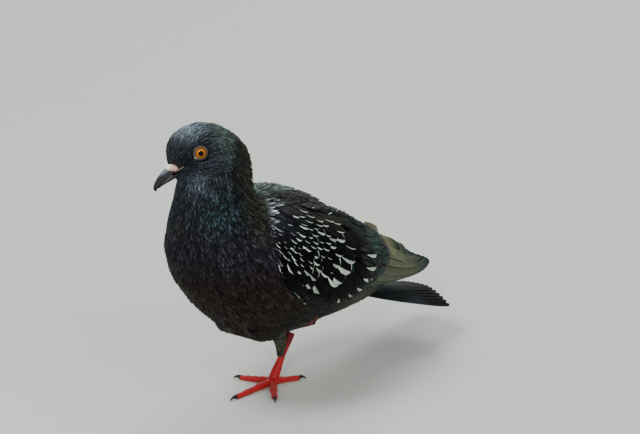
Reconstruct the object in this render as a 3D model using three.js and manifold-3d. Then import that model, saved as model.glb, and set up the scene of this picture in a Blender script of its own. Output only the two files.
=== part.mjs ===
// A feral pigeon, life size, standing on its right leg with the left one drawn up under the belly.
// Millimetres, +Z up. The bird faces -Y and +X is its left. The origin is on the floor
// under the middle of the whole bird. The solids reach out to the tips of the feathers.
import * as THREE from "three";
import { mergeVertices } from "three/addons/utils/BufferGeometryUtils.js";
import Module from "manifold-3d";

const wasm = await Module();
wasm.setup();

// ---------------------------------------------------------------- driving dimensions

const GAP = 0.3; // air between pieces that touch
const rad = THREE.MathUtils.degToRad;
const point = (x, y, z) => new THREE.Vector3(x, y, z);

// Trunk and neck: sections along the spine, from the root of the tail to the skull.
// Each row is [x, y, z, half width, rise to the back, fall to the belly].
const BODY_ROWS = [
  [0, 92, 52, 12, 6, 7],
  [0, 74, 57, 22, 14, 16],
  [0, 45, 69, 34, 29, 30],
  [0, 12, 83, 42, 43, 46.5],
  [0, -18, 93, 45, 47, 51.5],
  [0, -40, 106, 43.5, 42, 44.2],
  [0, -53, 122, 34.5, 34, 40.5],
  [0, -58, 138, 26, 26, 28.5],
  [0, -60, 153, 22, 27.6, 21.5],
  [3.6, -60, 166, 18.6, 24, 18],
  [5.5, -63, 175, 15.6, 15, 17],
  [5, -66, 182, 8, 6, 8],
];

// The folded wings lie on a form of their own. Rows as above, from the wing tips to the wrists.
const WING_ROWS = [
  [0, 152, 45, 5, 3, 2.5],
  [0, 143, 47.5, 8.5, 6, 6.5],
  [0, 125, 52, 15.5, 11.5, 11],
  [0, 100, 58, 24, 15.5, 16],
  [0, 75, 66, 33.5, 24, 22],
  [0, 44, 77, 44, 31.5, 31],
  [0, 16, 87, 49.5, 38.5, 42],
  [0, -28, 101, 50, 41, 44],
  [0, -50, 110, 46, 34, 38],
  [0, -62, 116, 38, 27, 30],
];

// The head has a frame of its own: the middle of the eyes is its origin and the gape runs along y.
// Rows as above, from the nape to the chin.
const HEAD_AT = point(0, -72, 175.6);
const HEAD_PITCH = rad(38); // bill down
const HEAD_TURN = rad(-33); // towards the bird's right
const HEAD_ROWS = [
  [0, 22.5, -14.5, 7.5, 2, 8],
  [0, 19.5, -10, 11.8, 4.6, 15],
  [0, 14, -4, 13.7, 9.2, 18],
  [0, 7, -1, 13.3, 15, 16.5],
  [0, 0, 0, 11.1, 17.6, 14.5],
  [0, -6.5, 0, 10.1, 17.9, 11.5],
  [0, -12.5, 0, 8, 15, 9.5],
  [0, -16, -0.5, 5, 8.8, 7],
  [0, -18.8, -2, 3, 4, 4.8],
  [0, -21.6, -4.4, 1.6, 0.8, 1.6],
];
const NECK_TOP = { at: point(-4, -83, 156), normal: point(-0.18, -0.28, 0.94) };
const NECK_BASE = { at: point(0, -30, 137), normal: point(0, -0.3, 0.95) };

// Bill, in the head's frame. Rows as above, from the root to the tip.
const UPPER_BILL_ROWS = [
  [0, -13, 0.4, 4.3, 3.4, 1.2],
  [0, -19, 0.4, 3.9, 3.8, 1.2],
  [0, -24, 0.1, 3.1, 3.8, 1],
  [0, -28, -0.3, 2.6, 3.2, 0.9],
  [0, -31.5, -0.9, 2.1, 2.5, 1],
  [0, -34.2, -2, 1.2, 1.9, 0.9],
  [0, -35.6, -3.2, 0.4, 0.6, 0.4],
];
const LOWER_BILL_ROWS = [
  [0, -13, -3.4, 3.9, 1.8, 3],
  [0, -19, -2.9, 3.4, 1.6, 2.6],
  [0, -25, -2.4, 2.5, 1.4, 1.8],
  [0, -30, -2.2, 1.7, 1.2, 1.1],
  [0, -33.2, -2.6, 0.6, 0.5, 0.5],
];
const CERE = { at: point(3, -18.7, 2.8), half: point(2.6, 4.4, 2.5), lean: rad(-42) };
const CHIN = { at: point(0, -15, -7.2), half: point(6, 7.2, 6) };

const EYE = { at: point(6.4, 0.9, 0.3), radius: 5 };
const LID = { inner: 5.35, outer: 6, from: rad(43), to: rad(82), reach: 1.1 };

// Tail: a closed fan of twelve feathers.
const TAIL = {
  root: point(0, 68, 51),
  tip: point(0, 149, 28.5),
  rootHalf: 15,
  tipHalf: 23,
  rootCamber: 3,
  tipCamber: 4.5,
  tilt: 0.17, // left side down
  rounding: 8,
  thick: 3.4,
  feathers: 12,
};

// Wings: rear edges, and the depths of the feathers' outer and inner faces under the wing form.
const SHIELD = { front: -42, bow: 14, rear: 82, sweep: 50, edgeDepth: 3.2, thin: 1.2, thick: 6 };
const BLADE = { front: 8, rear: 147, sweep: 20, scallop: 1.5, feathers: 5, edgeDepth: 5.3 };

// Right leg, the one the bird stands on. The joint of the toes is over FOOT_X, 0. Each toe is
// [digit, heading, length, claw, joints]; a heading of 0 points ahead and positive ones turn left.
const FOOT_X = -6;
const TOES = [
  [3, 0, 33, 6.5, 3],
  [2, 46, 26, 5.5, 2],
  [4, -71, 22, 5.5, 4],
  [1, 158, 18.5, 5.4, 1],
];
const TOE = { half: 2.5, taper: 0.7, knuckle: 0.1, height: 1.55 };
const NAIL = { wide: 1.15, deep: 1.4, tip: 0.2 };
const SHANK = { wide: 2.5, deep: 2.9, swell: 0.6 };
const SHANK_PATH = [point(FOOT_X, 17, 31), point(FOOT_X, 9, 17), point(FOOT_X, 1, 4)];
const PAD = { wide: 4.6, deep: 3.1 };
const PAD_PATH = [point(FOOT_X, 5, 2.05), point(FOOT_X, 0, 2.35), point(FOOT_X, -5, 2.05)];
const FLOOR = { at: point(0, 0, -GAP / 2), normal: point(0, 0, 1) };
const THIGH = { wide: 11, deep: 13, endWide: 3.1, endDeep: 2.8 };
const THIGH_PATH = [point(-10, -4, 52), point(-8.5, 2, 40), point(-6.5, 8, 29), point(-5.6, 6.8, 16.5)];

// Left leg, drawn up: the shank lies forward under the belly with the toes against the feathers.
const RAISED_AT = point(7, -14, 44.2);
const RAISED_SHANK_PATH = [point(15, 16, 45.4), point(11.5, 1, 44), RAISED_AT];
const RAISED_THIGH = { wide: 11, deep: 9.5, end: 3.4, root: 2 };
const RAISED_THIGH_PATH = [
  point(24, -28, 66),
  point(24.5, -9, 57),
  point(21, 6, 50.5),
  point(16, 14.5, 45.8),
];
const RAISED_SPREAD = 0.25; // of the standing foot's
const RAISED_TURN = -5;
const RAISED_CURVE = [0.1, 0.0058]; // the toes follow the curve of the belly
const TOE_SPACING = 3; // sideways, at the roots of the folded toes

// The hollow among the belly feathers that the raised foot lies in.
const NEST = { heel: 6.5, toes: 12.5, deep: 5 };
const NEST_PATH = [
  point(15, 22, 46.6),
  point(11.5, 5, 44.8),
  point(7, -14, 44.4),
  point(6.3, -32, 47.8),
  point(6, -60, 60),
];

// ---------------------------------------------------------------- building tools

const X_AXIS = point(1, 0, 0);
const count = (n) => [...Array(n).keys()];
const mix = THREE.MathUtils.lerp;

// Smooth values between the rows of a table, t from 0 at the first row to 1 at the last.
function smooth(rows, t) {
  const last = rows.length - 1;
  const place = Math.min(Math.max(t, 0), 1) * last;
  const i = Math.min(Math.floor(place), last - 1);
  const u = place - i;
  const row = (k) => rows[Math.min(Math.max(k, 0), last)];
  return rows[0].map((_, c) => {
    const [a, b, d, e] = [row(i - 1)[c], row(i)[c], row(i + 1)[c], row(i + 2)[c]];
    return b + 0.5 * u * (d - a + u * (2 * a - 5 * b + 4 * d - e + u * (3 * (b - d) + e - a)));
  });
}

// A rounded form given by rows of [x, y, z, half width, rise, fall] along its spine.
class Form {
  constructor(rows) {
    this.rows = rows;
  }
  // The place along the spine, from 0 to 1, that has this y.
  station(y) {
    let [low, high] = [0, 1];
    const falling = this.rows[0][1] > this.rows.at(-1)[1];
    count(24).forEach(() => {
      const middle = (low + high) / 2;
      if (smooth(this.rows, middle)[1] > y === falling) low = middle;
      else high = middle;
    });
    return low;
  }
  // A point at t along the spine. The angle round it is 0 at the left side and 90 degrees at the back.
  point(t, angle, out = 0) {
    const [x, y, z, half, rise, fall] = smooth(this.rows, t);
    const step = 0.01;
    const before = smooth(this.rows, t - step);
    const after = smooth(this.rows, t + step);
    const along = point(0, after[1] - before[1], after[2] - before[2]).normalize();
    const up = point(0, 0, 0).crossVectors(along, X_AXIS);
    const lift = Math.sin(angle);
    return point(x, y, z)
      .addScaledVector(X_AXIS, Math.cos(angle) * (half + out))
      .addScaledVector(up, lift * ((lift > 0 ? rise : fall) + out));
  }
  // A closed solid of the whole form.
  solid(stations, around, out = 0) {
    return loft(
      count(stations).map((i) =>
        count(around).map((j) => this.point(i / (stations - 1), (2 * Math.PI * j) / around, out)),
      ),
    );
  }
}

function volume(geometry) {
  const p = geometry.attributes.position;
  const corners = [point(0, 0, 0), point(0, 0, 0), point(0, 0, 0)];
  let sum = 0;
  for (let i = 0; i < geometry.index.count; i += 3) {
    corners.forEach((corner, k) => corner.fromBufferAttribute(p, geometry.index.getX(i + k)));
    sum += corners[0].dot(corners[1].clone().cross(corners[2]));
  }
  return sum / 6;
}

function outward(points, faces) {
  const geometry = new THREE.BufferGeometry().setFromPoints(points).setIndex(faces);
  return volume(geometry) < 0 ? geometry.setIndex(faces.reverse()) : geometry;
}

// A closed solid through rings that all have the same number of points, with a fan over each end.
function loft(rings) {
  const around = rings[0].length;
  const points = rings.flat();
  const faces = [];
  rings.slice(1).forEach((_, i) => {
    count(around).forEach((j) => {
      const a = i * around + j;
      const b = i * around + ((j + 1) % around);
      faces.push(a, b, a + around, b, b + around, a + around);
    });
  });
  [0, rings.length - 1].forEach((i) => {
    const middle = points.length;
    points.push(rings[i].reduce((sum, p) => sum.add(p), point(0, 0, 0)).divideScalar(around));
    count(around).forEach((j) => {
      const a = i * around + j;
      const b = i * around + ((j + 1) % around);
      faces.push(...(i ? [a, b, middle] : [b, a, middle]));
    });
  });
  return outward(points, faces);
}

// A closed slab between an outer and an inner sheet. Both are functions of s along and u across, 0 to 1.
function slab(outer, inner, alongCount, acrossCount) {
  const rows = alongCount + 1;
  const columns = acrossCount + 1;
  const row = (f, i) => count(columns).map((j) => f(i / alongCount, j / acrossCount));
  const sheet = (f) => count(rows).flatMap((i) => row(f, i));
  const points = [...sheet(outer), ...sheet(inner)];
  const under = rows * columns;
  const faces = [];
  const quad = (a, b, c, d) => faces.push(a, b, c, a, c, d);
  count(alongCount).forEach((i) => {
    count(acrossCount).forEach((j) => {
      const a = i * columns + j;
      quad(a, a + 1, a + columns + 1, a + columns);
      quad(under + a, under + a + columns, under + a + columns + 1, under + a + 1);
    });
  });
  const wall = (a, b) => quad(a, under + a, under + b, b);
  count(alongCount).forEach((i) => {
    wall((i + 1) * columns, i * columns);
    wall(i * columns + acrossCount, (i + 1) * columns + acrossCount);
  });
  count(acrossCount).forEach((j) => {
    wall(j, j + 1);
    wall(alongCount * columns + j + 1, alongCount * columns + j);
  });
  return outward(points, faces.reverse());
}

// A limb along a curve. size(t) gives [half width, half depth]. No point goes below the floor.
function limb(curve, stations, around, size, out = 0) {
  const rings = count(stations).map((i) => {
    const t = i / (stations - 1);
    const along = curve.getTangentAt(t);
    const reference = Math.abs(along.z) > 0.9 ? point(0, 1, 0) : point(0, 0, 1);
    const side = point(0, 0, 0).crossVectors(along, reference).normalize();
    const up = point(0, 0, 0).crossVectors(side, along);
    const [wide, deep] = size(t);
    return count(around).map((j) => {
      const angle = (2 * Math.PI * (j + 0.5)) / around;
      const p = curve
        .getPointAt(t)
        .addScaledVector(side, (wide + out) * Math.cos(angle))
        .addScaledVector(up, (deep + out) * Math.sin(angle));
      return p.setZ(Math.max(p.z, 0));
    });
  });
  return loft(rings);
}

const through = (...points) => new THREE.CatmullRomCurve3(points);

function ball(at, half, out = 0) {
  return new THREE.SphereGeometry(1, 12, 8)
    .scale(half.x + out, half.y + out, half.z + out)
    .translate(at.x, at.y, at.z);
}

function solidOf(geometry) {
  const bare = geometry.clone();
  ["normal", "uv"].forEach((name) => bare.deleteAttribute(name));
  const merged = mergeVertices(bare, 1e-4);
  return new wasm.Manifold(
    new wasm.Mesh({
      numProp: 3,
      vertProperties: merged.attributes.position.array,
      triVerts: new Uint32Array(merged.index.array),
    }),
  );
}

function geometryOf(solid) {
  const mesh = solid.getMesh();
  return new THREE.BufferGeometry()
    .setAttribute("position", new THREE.BufferAttribute(Float32Array.from(mesh.vertProperties), 3))
    .setIndex(new THREE.BufferAttribute(Uint32Array.from(mesh.triVerts), 1));
}

const cut = (geometry, ...tools) =>
  geometryOf(tools.reduce((a, b) => a.subtract(solidOf(b)), solidOf(geometry)));
const join = (geometry, ...others) =>
  geometryOf(others.reduce((a, b) => a.add(solidOf(b)), solidOf(geometry)));
const common = (geometry, other) => geometryOf(solidOf(geometry).intersect(solidOf(other)));

// A large block that fills one side of a plane, starting half a gap beyond it.
function halfSpace(plane, side) {
  const size = 400;
  const normal = plane.normal.clone().normalize().multiplyScalar(side);
  const turn = new THREE.Quaternion().setFromUnitVectors(point(0, 0, 1), normal);
  const centre = plane.at.clone().addScaledVector(normal, size / 2 + GAP / 2);
  return new THREE.BoxGeometry(size, size, size).applyQuaternion(turn).translate(...centre);
}

function mirrored(geometry) {
  const copy = geometry.clone().scale(-1, 1, 1);
  return copy.setIndex([...copy.index.array].reverse());
}

// ---------------------------------------------------------------- materials

const finish = (color, roughness, metalness = 0) => () =>
  new THREE.MeshStandardMaterial({ color, roughness, metalness });
const HEAD_FEATHERS = finish("#2b2e36", 0.7);
const NECK_FEATHERS = finish("#1f2c2c", 0.5);
const BODY_FEATHERS = finish("#2a2624", 0.75);
const WING_FEATHERS = finish("#232525", 0.65);
const FLIGHT_FEATHERS = finish("#4c5450", 0.6);
const TAIL_FEATHERS = finish("#1d1f21", 0.6);
const HORN = finish("#2b2a2b", 0.35);
const SOFT_CERE = finish("#cfae9f", 0.6);
const EYE_RING = finish("#8d887a", 0.6);
const IRIS = finish("#c56a12", 0.12);
const SCALES = finish("#b8281e", 0.5);
const CLAW = finish("#1d1a19", 0.35);

const bird = new THREE.Group();

function add(name, geometry, look) {
  const mesh = new THREE.Mesh(geometry, look());
  mesh.name = name;
  bird.add(mesh);
}

// ---------------------------------------------------------------- wings

const wingForm = new Form(WING_ROWS);

// One side's slab of the wing form. The edges are functions: front and rear give y for u across,
// upper and lower give the angle for y. Depths run inwards from the form's surface.
function wingSlab({ front, rear, upper, lower, top, bottom }, alongCount, acrossCount, out = 0) {
  const sheet = (depth) => (s, u) => {
    const y = mix(front(u) - out, rear(u) + out, s);
    const spread = out / 40;
    const angle = mix(upper(y) + spread, lower(y) - spread, u);
    return wingForm.point(wingForm.station(y), angle, -depth(s, u));
  };
  return slab(
    sheet((s, u) => top(s, u) - out),
    sheet((s, u) => bottom(s, u) + out),
    alongCount,
    acrossCount,
  );
}

// Nearly 1 over the middle of a span and 0 at both its ends.
const rounded = (v, power) => Math.sqrt(Math.max(0, 1 - Math.abs(2 * v - 1) ** power));

// Shield: coverts, secondaries and tertials, from the wrist to the secondaries' tips.
const ramp = THREE.MathUtils.smoothstep;
const shield = {
  front: (u) => SHIELD.front - SHIELD.bow * Math.sin(Math.PI * u) + 8 * u,
  rear: (u) => SHIELD.rear - 4 * u - SHIELD.sweep * u ** 2.4,
  upper: (y) => rad(mix(70, 84, ramp(y, -30, 90))),
  lower: (y) => rad(mix(-28, -43, ramp(y, -40, 40))),
  top: (s, u) => SHIELD.edgeDepth * (1 - rounded(u, 8) * rounded(s, 10)),
  bottom: (s, u) => 3.7 + mix(SHIELD.thick, SHIELD.thin, s ** 0.6) * rounded(u, 8) * rounded(s, 10),
};

// Primaries: the blade of the wing tip, coming out from under the shield and thinner to its end.
const blade = {
  front: () => BLADE.front,
  rear: (u) => {
    const feather = Math.abs(Math.sin(BLADE.feathers * Math.PI * u));
    return BLADE.rear - BLADE.sweep * (2 * u - 1) ** 2 - BLADE.scallop * feather;
  },
  upper: (y) => rad(mix(66, 60, ramp(y, 60, 140))),
  lower: (y) => rad(mix(-42, -60, ramp(y, 20, 140))),
  top: (s, u) => BLADE.edgeDepth - 0.6 * rounded(u, 8) * rounded(s, 12) - 2.4 * s,
  bottom: (s, u) => 6.1 + mix(1.4, 0.2, s) * rounded(u, 8) - 2.6 * s,
};

const shieldLeft = wingSlab(shield, 10, 8);
const shieldTool = wingSlab(shield, 10, 8, GAP);
const bladeLeft = cut(wingSlab(blade, 6, 10), shieldTool);
const bladeTool = wingSlab(blade, 6, 10, GAP);
add("wing_left", shieldLeft, WING_FEATHERS);
add("wing_right", mirrored(shieldLeft), WING_FEATHERS);
add("primaries_left", bladeLeft, FLIGHT_FEATHERS);
add("primaries_right", mirrored(bladeLeft), FLIGHT_FEATHERS);

// ---------------------------------------------------------------- tail

// The tail is cambered across, and the end of each feather is round.
function tail(out = 0) {
  const reach = TAIL.tip.clone().sub(TAIL.root);
  const sheet = (side) => (s, u) => {
    const v = 2 * u - 1;
    const feather = Math.abs(Math.sin((TAIL.feathers / 2) * Math.PI * v));
    const end = reach.y - TAIL.rounding * v * v - 1.8 * (1 - feather) + out;
    const y = s * end;
    const half = mix(TAIL.rootHalf, TAIL.tipHalf, y / reach.y) + out;
    const slope = reach.z / reach.y;
    const thick = mix(TAIL.thick, 1.2, s) / 2 + out;
    const camber = mix(TAIL.rootCamber, TAIL.tipCamber, s) * Math.abs(v) ** 1.6;
    const z = y * slope - camber - TAIL.tilt * half * v * s + side * thick;
    return TAIL.root.clone().add(point(half * v, y, z));
  };
  return slab(sheet(1), sheet(-1), 2, 24);
}
add("tail", tail(), TAIL_FEATHERS);

// ---------------------------------------------------------------- head

const headForm = new Form(HEAD_ROWS);
const headPlace = new THREE.Matrix4().compose(
  HEAD_AT,
  new THREE.Quaternion().setFromEuler(new THREE.Euler(HEAD_PITCH, 0, HEAD_TURN, "ZYX")),
  point(1, 1, 1),
);
const placed = (geometry) => geometry.clone().applyMatrix4(headPlace);

const upperForm = new Form(UPPER_BILL_ROWS);
const lowerForm = new Form(LOWER_BILL_ROWS);
// The skull with the full throat below the bill.
const skull = (out) => join(headForm.solid(10, 16, out), ball(CHIN.at, CHIN.half, out));
const headGrown = skull(GAP);
const lobe = (side, out) =>
  ball(point(0, 0, 0), CERE.half, out)
    .rotateX(CERE.lean)
    .translate(side * CERE.at.x, CERE.at.y, CERE.at.z);
const upperBill = cut(upperForm.solid(8, 8), headGrown, lobe(1, GAP), lobe(-1, GAP));
const lowerBill = cut(lowerForm.solid(5, 8), headGrown, upperForm.solid(8, 8, GAP));
add("bill_upper", placed(upperBill), HORN);
add("bill_lower", placed(lowerBill), HORN);
add("cere_left", placed(cut(lobe(1, 0), headGrown)), SOFT_CERE);
add("cere_right", placed(cut(lobe(-1, 0), headGrown)), SOFT_CERE);

// Eyelids: a ring that follows the eyeball, a little longer than high.
function lid(side) {
  const steps = 2;
  const arc = (radius, from, to) =>
    count(steps + 1).map((i) => {
      const angle = mix(from, to, i / steps);
      return new THREE.Vector2(radius * Math.sin(angle), radius * Math.cos(angle));
    });
  const profile = [...arc(LID.inner, LID.from, LID.to), ...arc(LID.outer, LID.to, LID.from)];
  const ring = new THREE.LatheGeometry([...profile, profile[0]], 14);
  return ring
    .rotateZ(-side * rad(90))
    .scale(1, LID.reach, 1)
    .translate(side * EYE.at.x, EYE.at.y, EYE.at.z);
}

const eyeAt = (side) => EYE.at.clone().setX(side * EYE.at.x);
const round = (radius) => point(radius, radius, radius);
[
  [1, "left"],
  [-1, "right"],
].forEach(([side, label]) => {
  add(`eye_${label}`, placed(ball(eyeAt(side), round(EYE.radius))), IRIS);
  const ring = geometryOf(solidOf(lid(side)));
  add(`lid_${label}`, placed(ring), EYE_RING);
});

// ---------------------------------------------------------------- trunk, neck and head

const bodyForm = new Form(BODY_ROWS);
const socket = (side) => ball(eyeAt(side), point(LID.outer, LID.outer * LID.reach, LID.outer), GAP);
const flesh = join(bodyForm.solid(19, 22), placed(skull(0)));
const head = common(flesh, halfSpace(NECK_TOP, 1));
const belowHead = common(flesh, halfSpace(NECK_TOP, -1));
const neck = common(belowHead, halfSpace(NECK_BASE, 1));
const trunk = common(belowHead, halfSpace(NECK_BASE, -1));
add("head", cut(head, placed(socket(1)), placed(socket(-1))), HEAD_FEATHERS);
add("neck", neck, NECK_FEATHERS);

// ---------------------------------------------------------------- legs and feet

// A shank between two joints, swollen at both ends.
function shank(path, out = 0) {
  const size = (t) => {
    const swell = SHANK.swell * Math.cos(2 * Math.PI * t);
    return [SHANK.wide + swell, SHANK.deep + swell];
  };
  return limb(through(...path), 7, 10, size, out);
}

// A toe with swollen joints, and the claw that follows it. place(d, rise) is the toe's path.
function toe(label, digit, length, claw, joints, place) {
  const path = through(place(1.5, 1), place(length * 0.35, 0.5), place(length * 0.7, 0), place(length, -0.3));
  const nail = through(place(length + GAP, 0), place(length + claw * 0.55, 0.5), place(length + claw, -1.4));
  const stations = Math.max(5, 2 * joints + 1);
  const size = (t) => {
    const half = TOE.half * mix(1, TOE.taper, t) * (1 + TOE.knuckle * Math.cos(2 * Math.PI * joints * t));
    return [half, half];
  };
  const nailSize = (t) => [NAIL.wide * (1 - t) + NAIL.tip, NAIL.deep * (1 - t) + NAIL.tip];
  return {
    name: `toe_${label}_${digit}`,
    solid: limb(path, stations, 8, size),
    tool: limb(path, stations, 8, size, GAP),
    clawName: `claw_${label}_${digit}`,
    claw: limb(nail, 4, 6, nailSize),
  };
}

// Each toe gives way to the shank and to the toes before it, and is flat where it meets the floor.
const aboveFloor = halfSpace(FLOOR, 1);
function addToes(parts, shankTool) {
  parts.forEach((part, i) => {
    const before = parts.slice(0, i).map((other) => other.tool);
    add(part.name, common(cut(part.solid, shankTool, ...before), aboveFloor), SCALES);
    add(part.clawName, common(part.claw, aboveFloor), CLAW);
  });
}

// Right leg. A flat pad under the joint of the toes stands on the floor.
const padSize = (t) => {
  const bulge = Math.sqrt(Math.max(0.04, 1 - (2 * t - 1) ** 2));
  return [PAD.wide * bulge, PAD.deep * bulge];
};
const standing = (out) => join(shank(SHANK_PATH, out), limb(through(...PAD_PATH), 7, 10, padSize, out));
const standingTool = standing(GAP);
add("tarsus_right", common(standing(0), aboveFloor), SCALES);

const onFloor = (turn) => (d, rise) =>
  point(FOOT_X + Math.sin(rad(turn)) * d, -Math.cos(rad(turn)) * d, TOE.height + rise);
addToes(
  TOES.map(([digit, turn, length, claw, joints]) => toe("right", digit, length, claw, joints, onFloor(turn))),
  standingTool,
);

// Left leg, with the hind toe folded back beside the shank.
const raisedTool = shank(RAISED_SHANK_PATH, GAP);
add("tarsus_left", shank(RAISED_SHANK_PATH), SCALES);

const raised = (turn) => (d, rise) => {
  const heading = rad(RAISED_TURN - turn * RAISED_SPREAD);
  const lift = RAISED_CURVE[0] * d + RAISED_CURVE[1] * d * d;
  const x = Math.sin(heading) * d - Math.sign(turn) * TOE_SPACING;
  return RAISED_AT.clone().add(point(x, -Math.cos(heading) * d, rise + lift));
};
const hallux = (d, rise) => RAISED_AT.clone().add(point(-4.2 + 0.12 * d, d - 3, rise - 0.8));
addToes(
  TOES.map(([digit, turn, length, claw, joints]) =>
    toe("left", digit, length, claw, joints, digit === 1 ? hallux : raised(turn)),
  ),
  raisedTool,
);
const nestSize = (t) => [mix(NEST.heel, NEST.toes, ramp(t, 0, 0.5)), NEST.deep];
const nest = limb(through(...NEST_PATH), 8, 10, nestSize);

// Feathered thighs. The right one hangs over the front of its shank.
const thighSize = (t) => {
  const taper = t ** 0.8;
  return [mix(THIGH.wide, THIGH.endWide, taper), mix(THIGH.deep, THIGH.endDeep, taper)];
};
const trunkTool = bodyForm.solid(19, 22, GAP);
const thighRight = limb(through(...THIGH_PATH), 7, 10, thighSize);
add("thigh_right", cut(thighRight, trunkTool, standingTool), BODY_FEATHERS);

const raisedThighSize = (t) => {
  const start = Math.sqrt(1 - (1 - Math.min(1, t / 0.35)) ** 2); // a round upper end
  const half = (full) => mix(RAISED_THIGH.root, mix(full, RAISED_THIGH.end, t), start);
  return [half(RAISED_THIGH.wide), half(RAISED_THIGH.deep)];
};
const raisedThigh = (out) => limb(through(...RAISED_THIGH_PATH), 7, 10, raisedThighSize, out);
const thighTool = raisedThigh(GAP);
add("thigh_left", cut(raisedThigh(0), raisedTool), BODY_FEATHERS);

const pockets = [shieldTool, bladeTool, mirrored(shieldTool), mirrored(bladeTool), tail(GAP), thighTool, nest];
add("trunk", cut(trunk, ...pockets), BODY_FEATHERS);

// The origin goes under the middle of the whole bird.
const middle = new THREE.Box3().setFromObject(bird).getCenter(point(0, 0, 0));
bird.children.forEach((mesh) => mesh.position.set(-middle.x, -middle.y, 0));

export default bird;
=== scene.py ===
import math

import bpy
import numpy as np
from mathutils import Matrix, Vector
from mathutils.bvhtree import BVHTree
from mathutils.kdtree import KDTree


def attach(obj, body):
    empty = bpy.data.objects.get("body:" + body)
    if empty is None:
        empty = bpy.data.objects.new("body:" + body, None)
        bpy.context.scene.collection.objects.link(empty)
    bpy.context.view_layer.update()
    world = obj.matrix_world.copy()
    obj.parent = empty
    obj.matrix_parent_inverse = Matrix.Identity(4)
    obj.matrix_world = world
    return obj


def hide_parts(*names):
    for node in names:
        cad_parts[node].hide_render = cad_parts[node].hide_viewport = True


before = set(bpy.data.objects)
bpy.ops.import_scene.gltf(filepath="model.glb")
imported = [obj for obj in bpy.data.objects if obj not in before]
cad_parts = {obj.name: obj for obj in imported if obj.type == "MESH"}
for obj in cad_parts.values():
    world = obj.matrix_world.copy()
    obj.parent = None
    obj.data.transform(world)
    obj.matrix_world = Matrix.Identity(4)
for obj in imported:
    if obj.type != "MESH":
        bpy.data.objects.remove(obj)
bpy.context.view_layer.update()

MM = 0.001
SIDES = ((1, "left"), (-1, "right"))
DIGITS = (1, 2, 3, 4)
rng = np.random.RandomState(7)

# ---------------------------------------------------------------- sizes and places

CAMERA_AT = (1199.5, -1320.16, 704.7)
CAMERA_RIGHT = (0.74314, 0.66913, 0.0)
CAMERA_UP = (-0.21232, 0.23580, 0.94832)
LENS = 166.7

# The head's own frame: the middle of the eyes is its origin, -Y is the way the bill points.
HEAD_AT = np.array((0.0, -98.96, 175.6))
HEAD_PITCH = math.radians(38)
HEAD_TURN = math.radians(-33)
EYE_AT = np.array((6.4, 0.9, 0.3))
EYE_RADIUS = 4.95
PUPIL = 17  # degrees from the eye's axis
IRIS_EDGE = 43

# The line of the mouth past the bill, as far as the corner, on the left side of the head's frame.
GAPE = np.array([(3.3, -20.5, -0.7), (4.4, -17.5, -0.8), (5.6, -14.8, -0.6), (6.6, -12.4, -0.3)])
CERE_AT, CERE_HALF = np.array((2.75, -18.7, 2.7)), np.array((2.35, 4.3, 2.2))
# Each lobe leans back: its rear end is the lower one.
CERE_LEAN = np.array(Matrix.Rotation(math.radians(-42), 3, "X")).T

# The spine, tail end first: the coat of trunk and neck runs along it.
SPINE = np.array(
    [(0, 65, 52), (0, 18, 69), (0, -15, 83), (0, -45, 93), (0, -67, 106), (0, -80, 122)]
    + [(0, -85, 138), (0, -87, 153), (4, -88, 170), (5, -92, 182)],
    float,
)

HOCK = np.array((28.0, -25.5, 51.0))  # the bend of the drawn-up leg

# The folded wing's coverts fan out from a point above the shoulder, seen from the side (y, z).
FAN_AT = np.array((-76.0, 154.0))

FLESH = ["trunk", "neck", "head", "thigh_left", "thigh_right", "wing_left", "wing_right"]
DRAWN_UP = ["tarsus_left"] + [f"{part}_left_{digit}" for part in ("toe", "claw") for digit in DIGITS]
REGIONS = ["head", "neck", "trunk", "wing", "thigh"]
HEAD, NECK, TRUNK, WING, THIGH = range(5)
# How far the skin, and the fuller form over it, lie inside the solids, by region.
COAT_DEPTH = np.array((0.7, 0.9, 1.1, 1.6, 1.0))
FULL_DEPTH = np.array((0.7, 0.9, 1.1, 1.0, 1.0))


# ---------------------------------------------------------------- small tools


def linear(code):
    """An sRGB hex colour as linear red, green, blue."""
    values = np.array([int(code[i : i + 2], 16) / 255 for i in (1, 3, 5)])
    return np.where(values <= 0.04045, values / 12.92, ((values + 0.055) / 1.055) ** 2.4)


def smoothstep(x, low, high):
    t = np.clip((x - low) / (high - low), 0, 1)
    return t * t * (3 - 2 * t)


def unit(v):
    return v / np.maximum(np.linalg.norm(v, axis=-1, keepdims=True), 1e-9)


def near(points, centre, reach):
    """1 at a place, falling to 0 at reach from it."""
    return 1 - smoothstep(np.linalg.norm(points - np.array(centre, float), axis=1), 0, reach)


def painted(base, *layers):
    """A colour with others laid over it in turn, [colour, weight from 0 to 1 at each place]."""
    result = linear(base) if isinstance(base, str) else base
    for colour, weight in layers:
        result = result + (linear(colour) - result) * np.clip(weight, 0, 1)[..., None]
    return result


def only(*objects):
    """Selects these objects alone."""
    bpy.ops.object.select_all(action="DESELECT")
    for obj in objects:
        obj.select_set(True)
    bpy.context.view_layer.objects.active = objects[0]


def edit(obj, operator, **settings):
    """Runs a mesh operator on all of an object."""
    only(obj)
    bpy.ops.object.mode_set(mode="EDIT")
    bpy.ops.mesh.select_all(action="SELECT")
    operator(**settings)
    bpy.ops.object.mode_set(mode="OBJECT")


def apply(obj, kind, **settings):
    """Adds a modifier and applies it."""
    only(obj)
    modifier = obj.modifiers.new(kind.lower(), kind)
    for key, value in settings.items():
        setattr(modifier, key, value)
    bpy.ops.object.modifier_apply(modifier=modifier.name)


def link(name, data):
    """A new object in the scene."""
    obj = bpy.data.objects.new(name, data)
    bpy.context.collection.objects.link(obj)
    return obj


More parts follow.
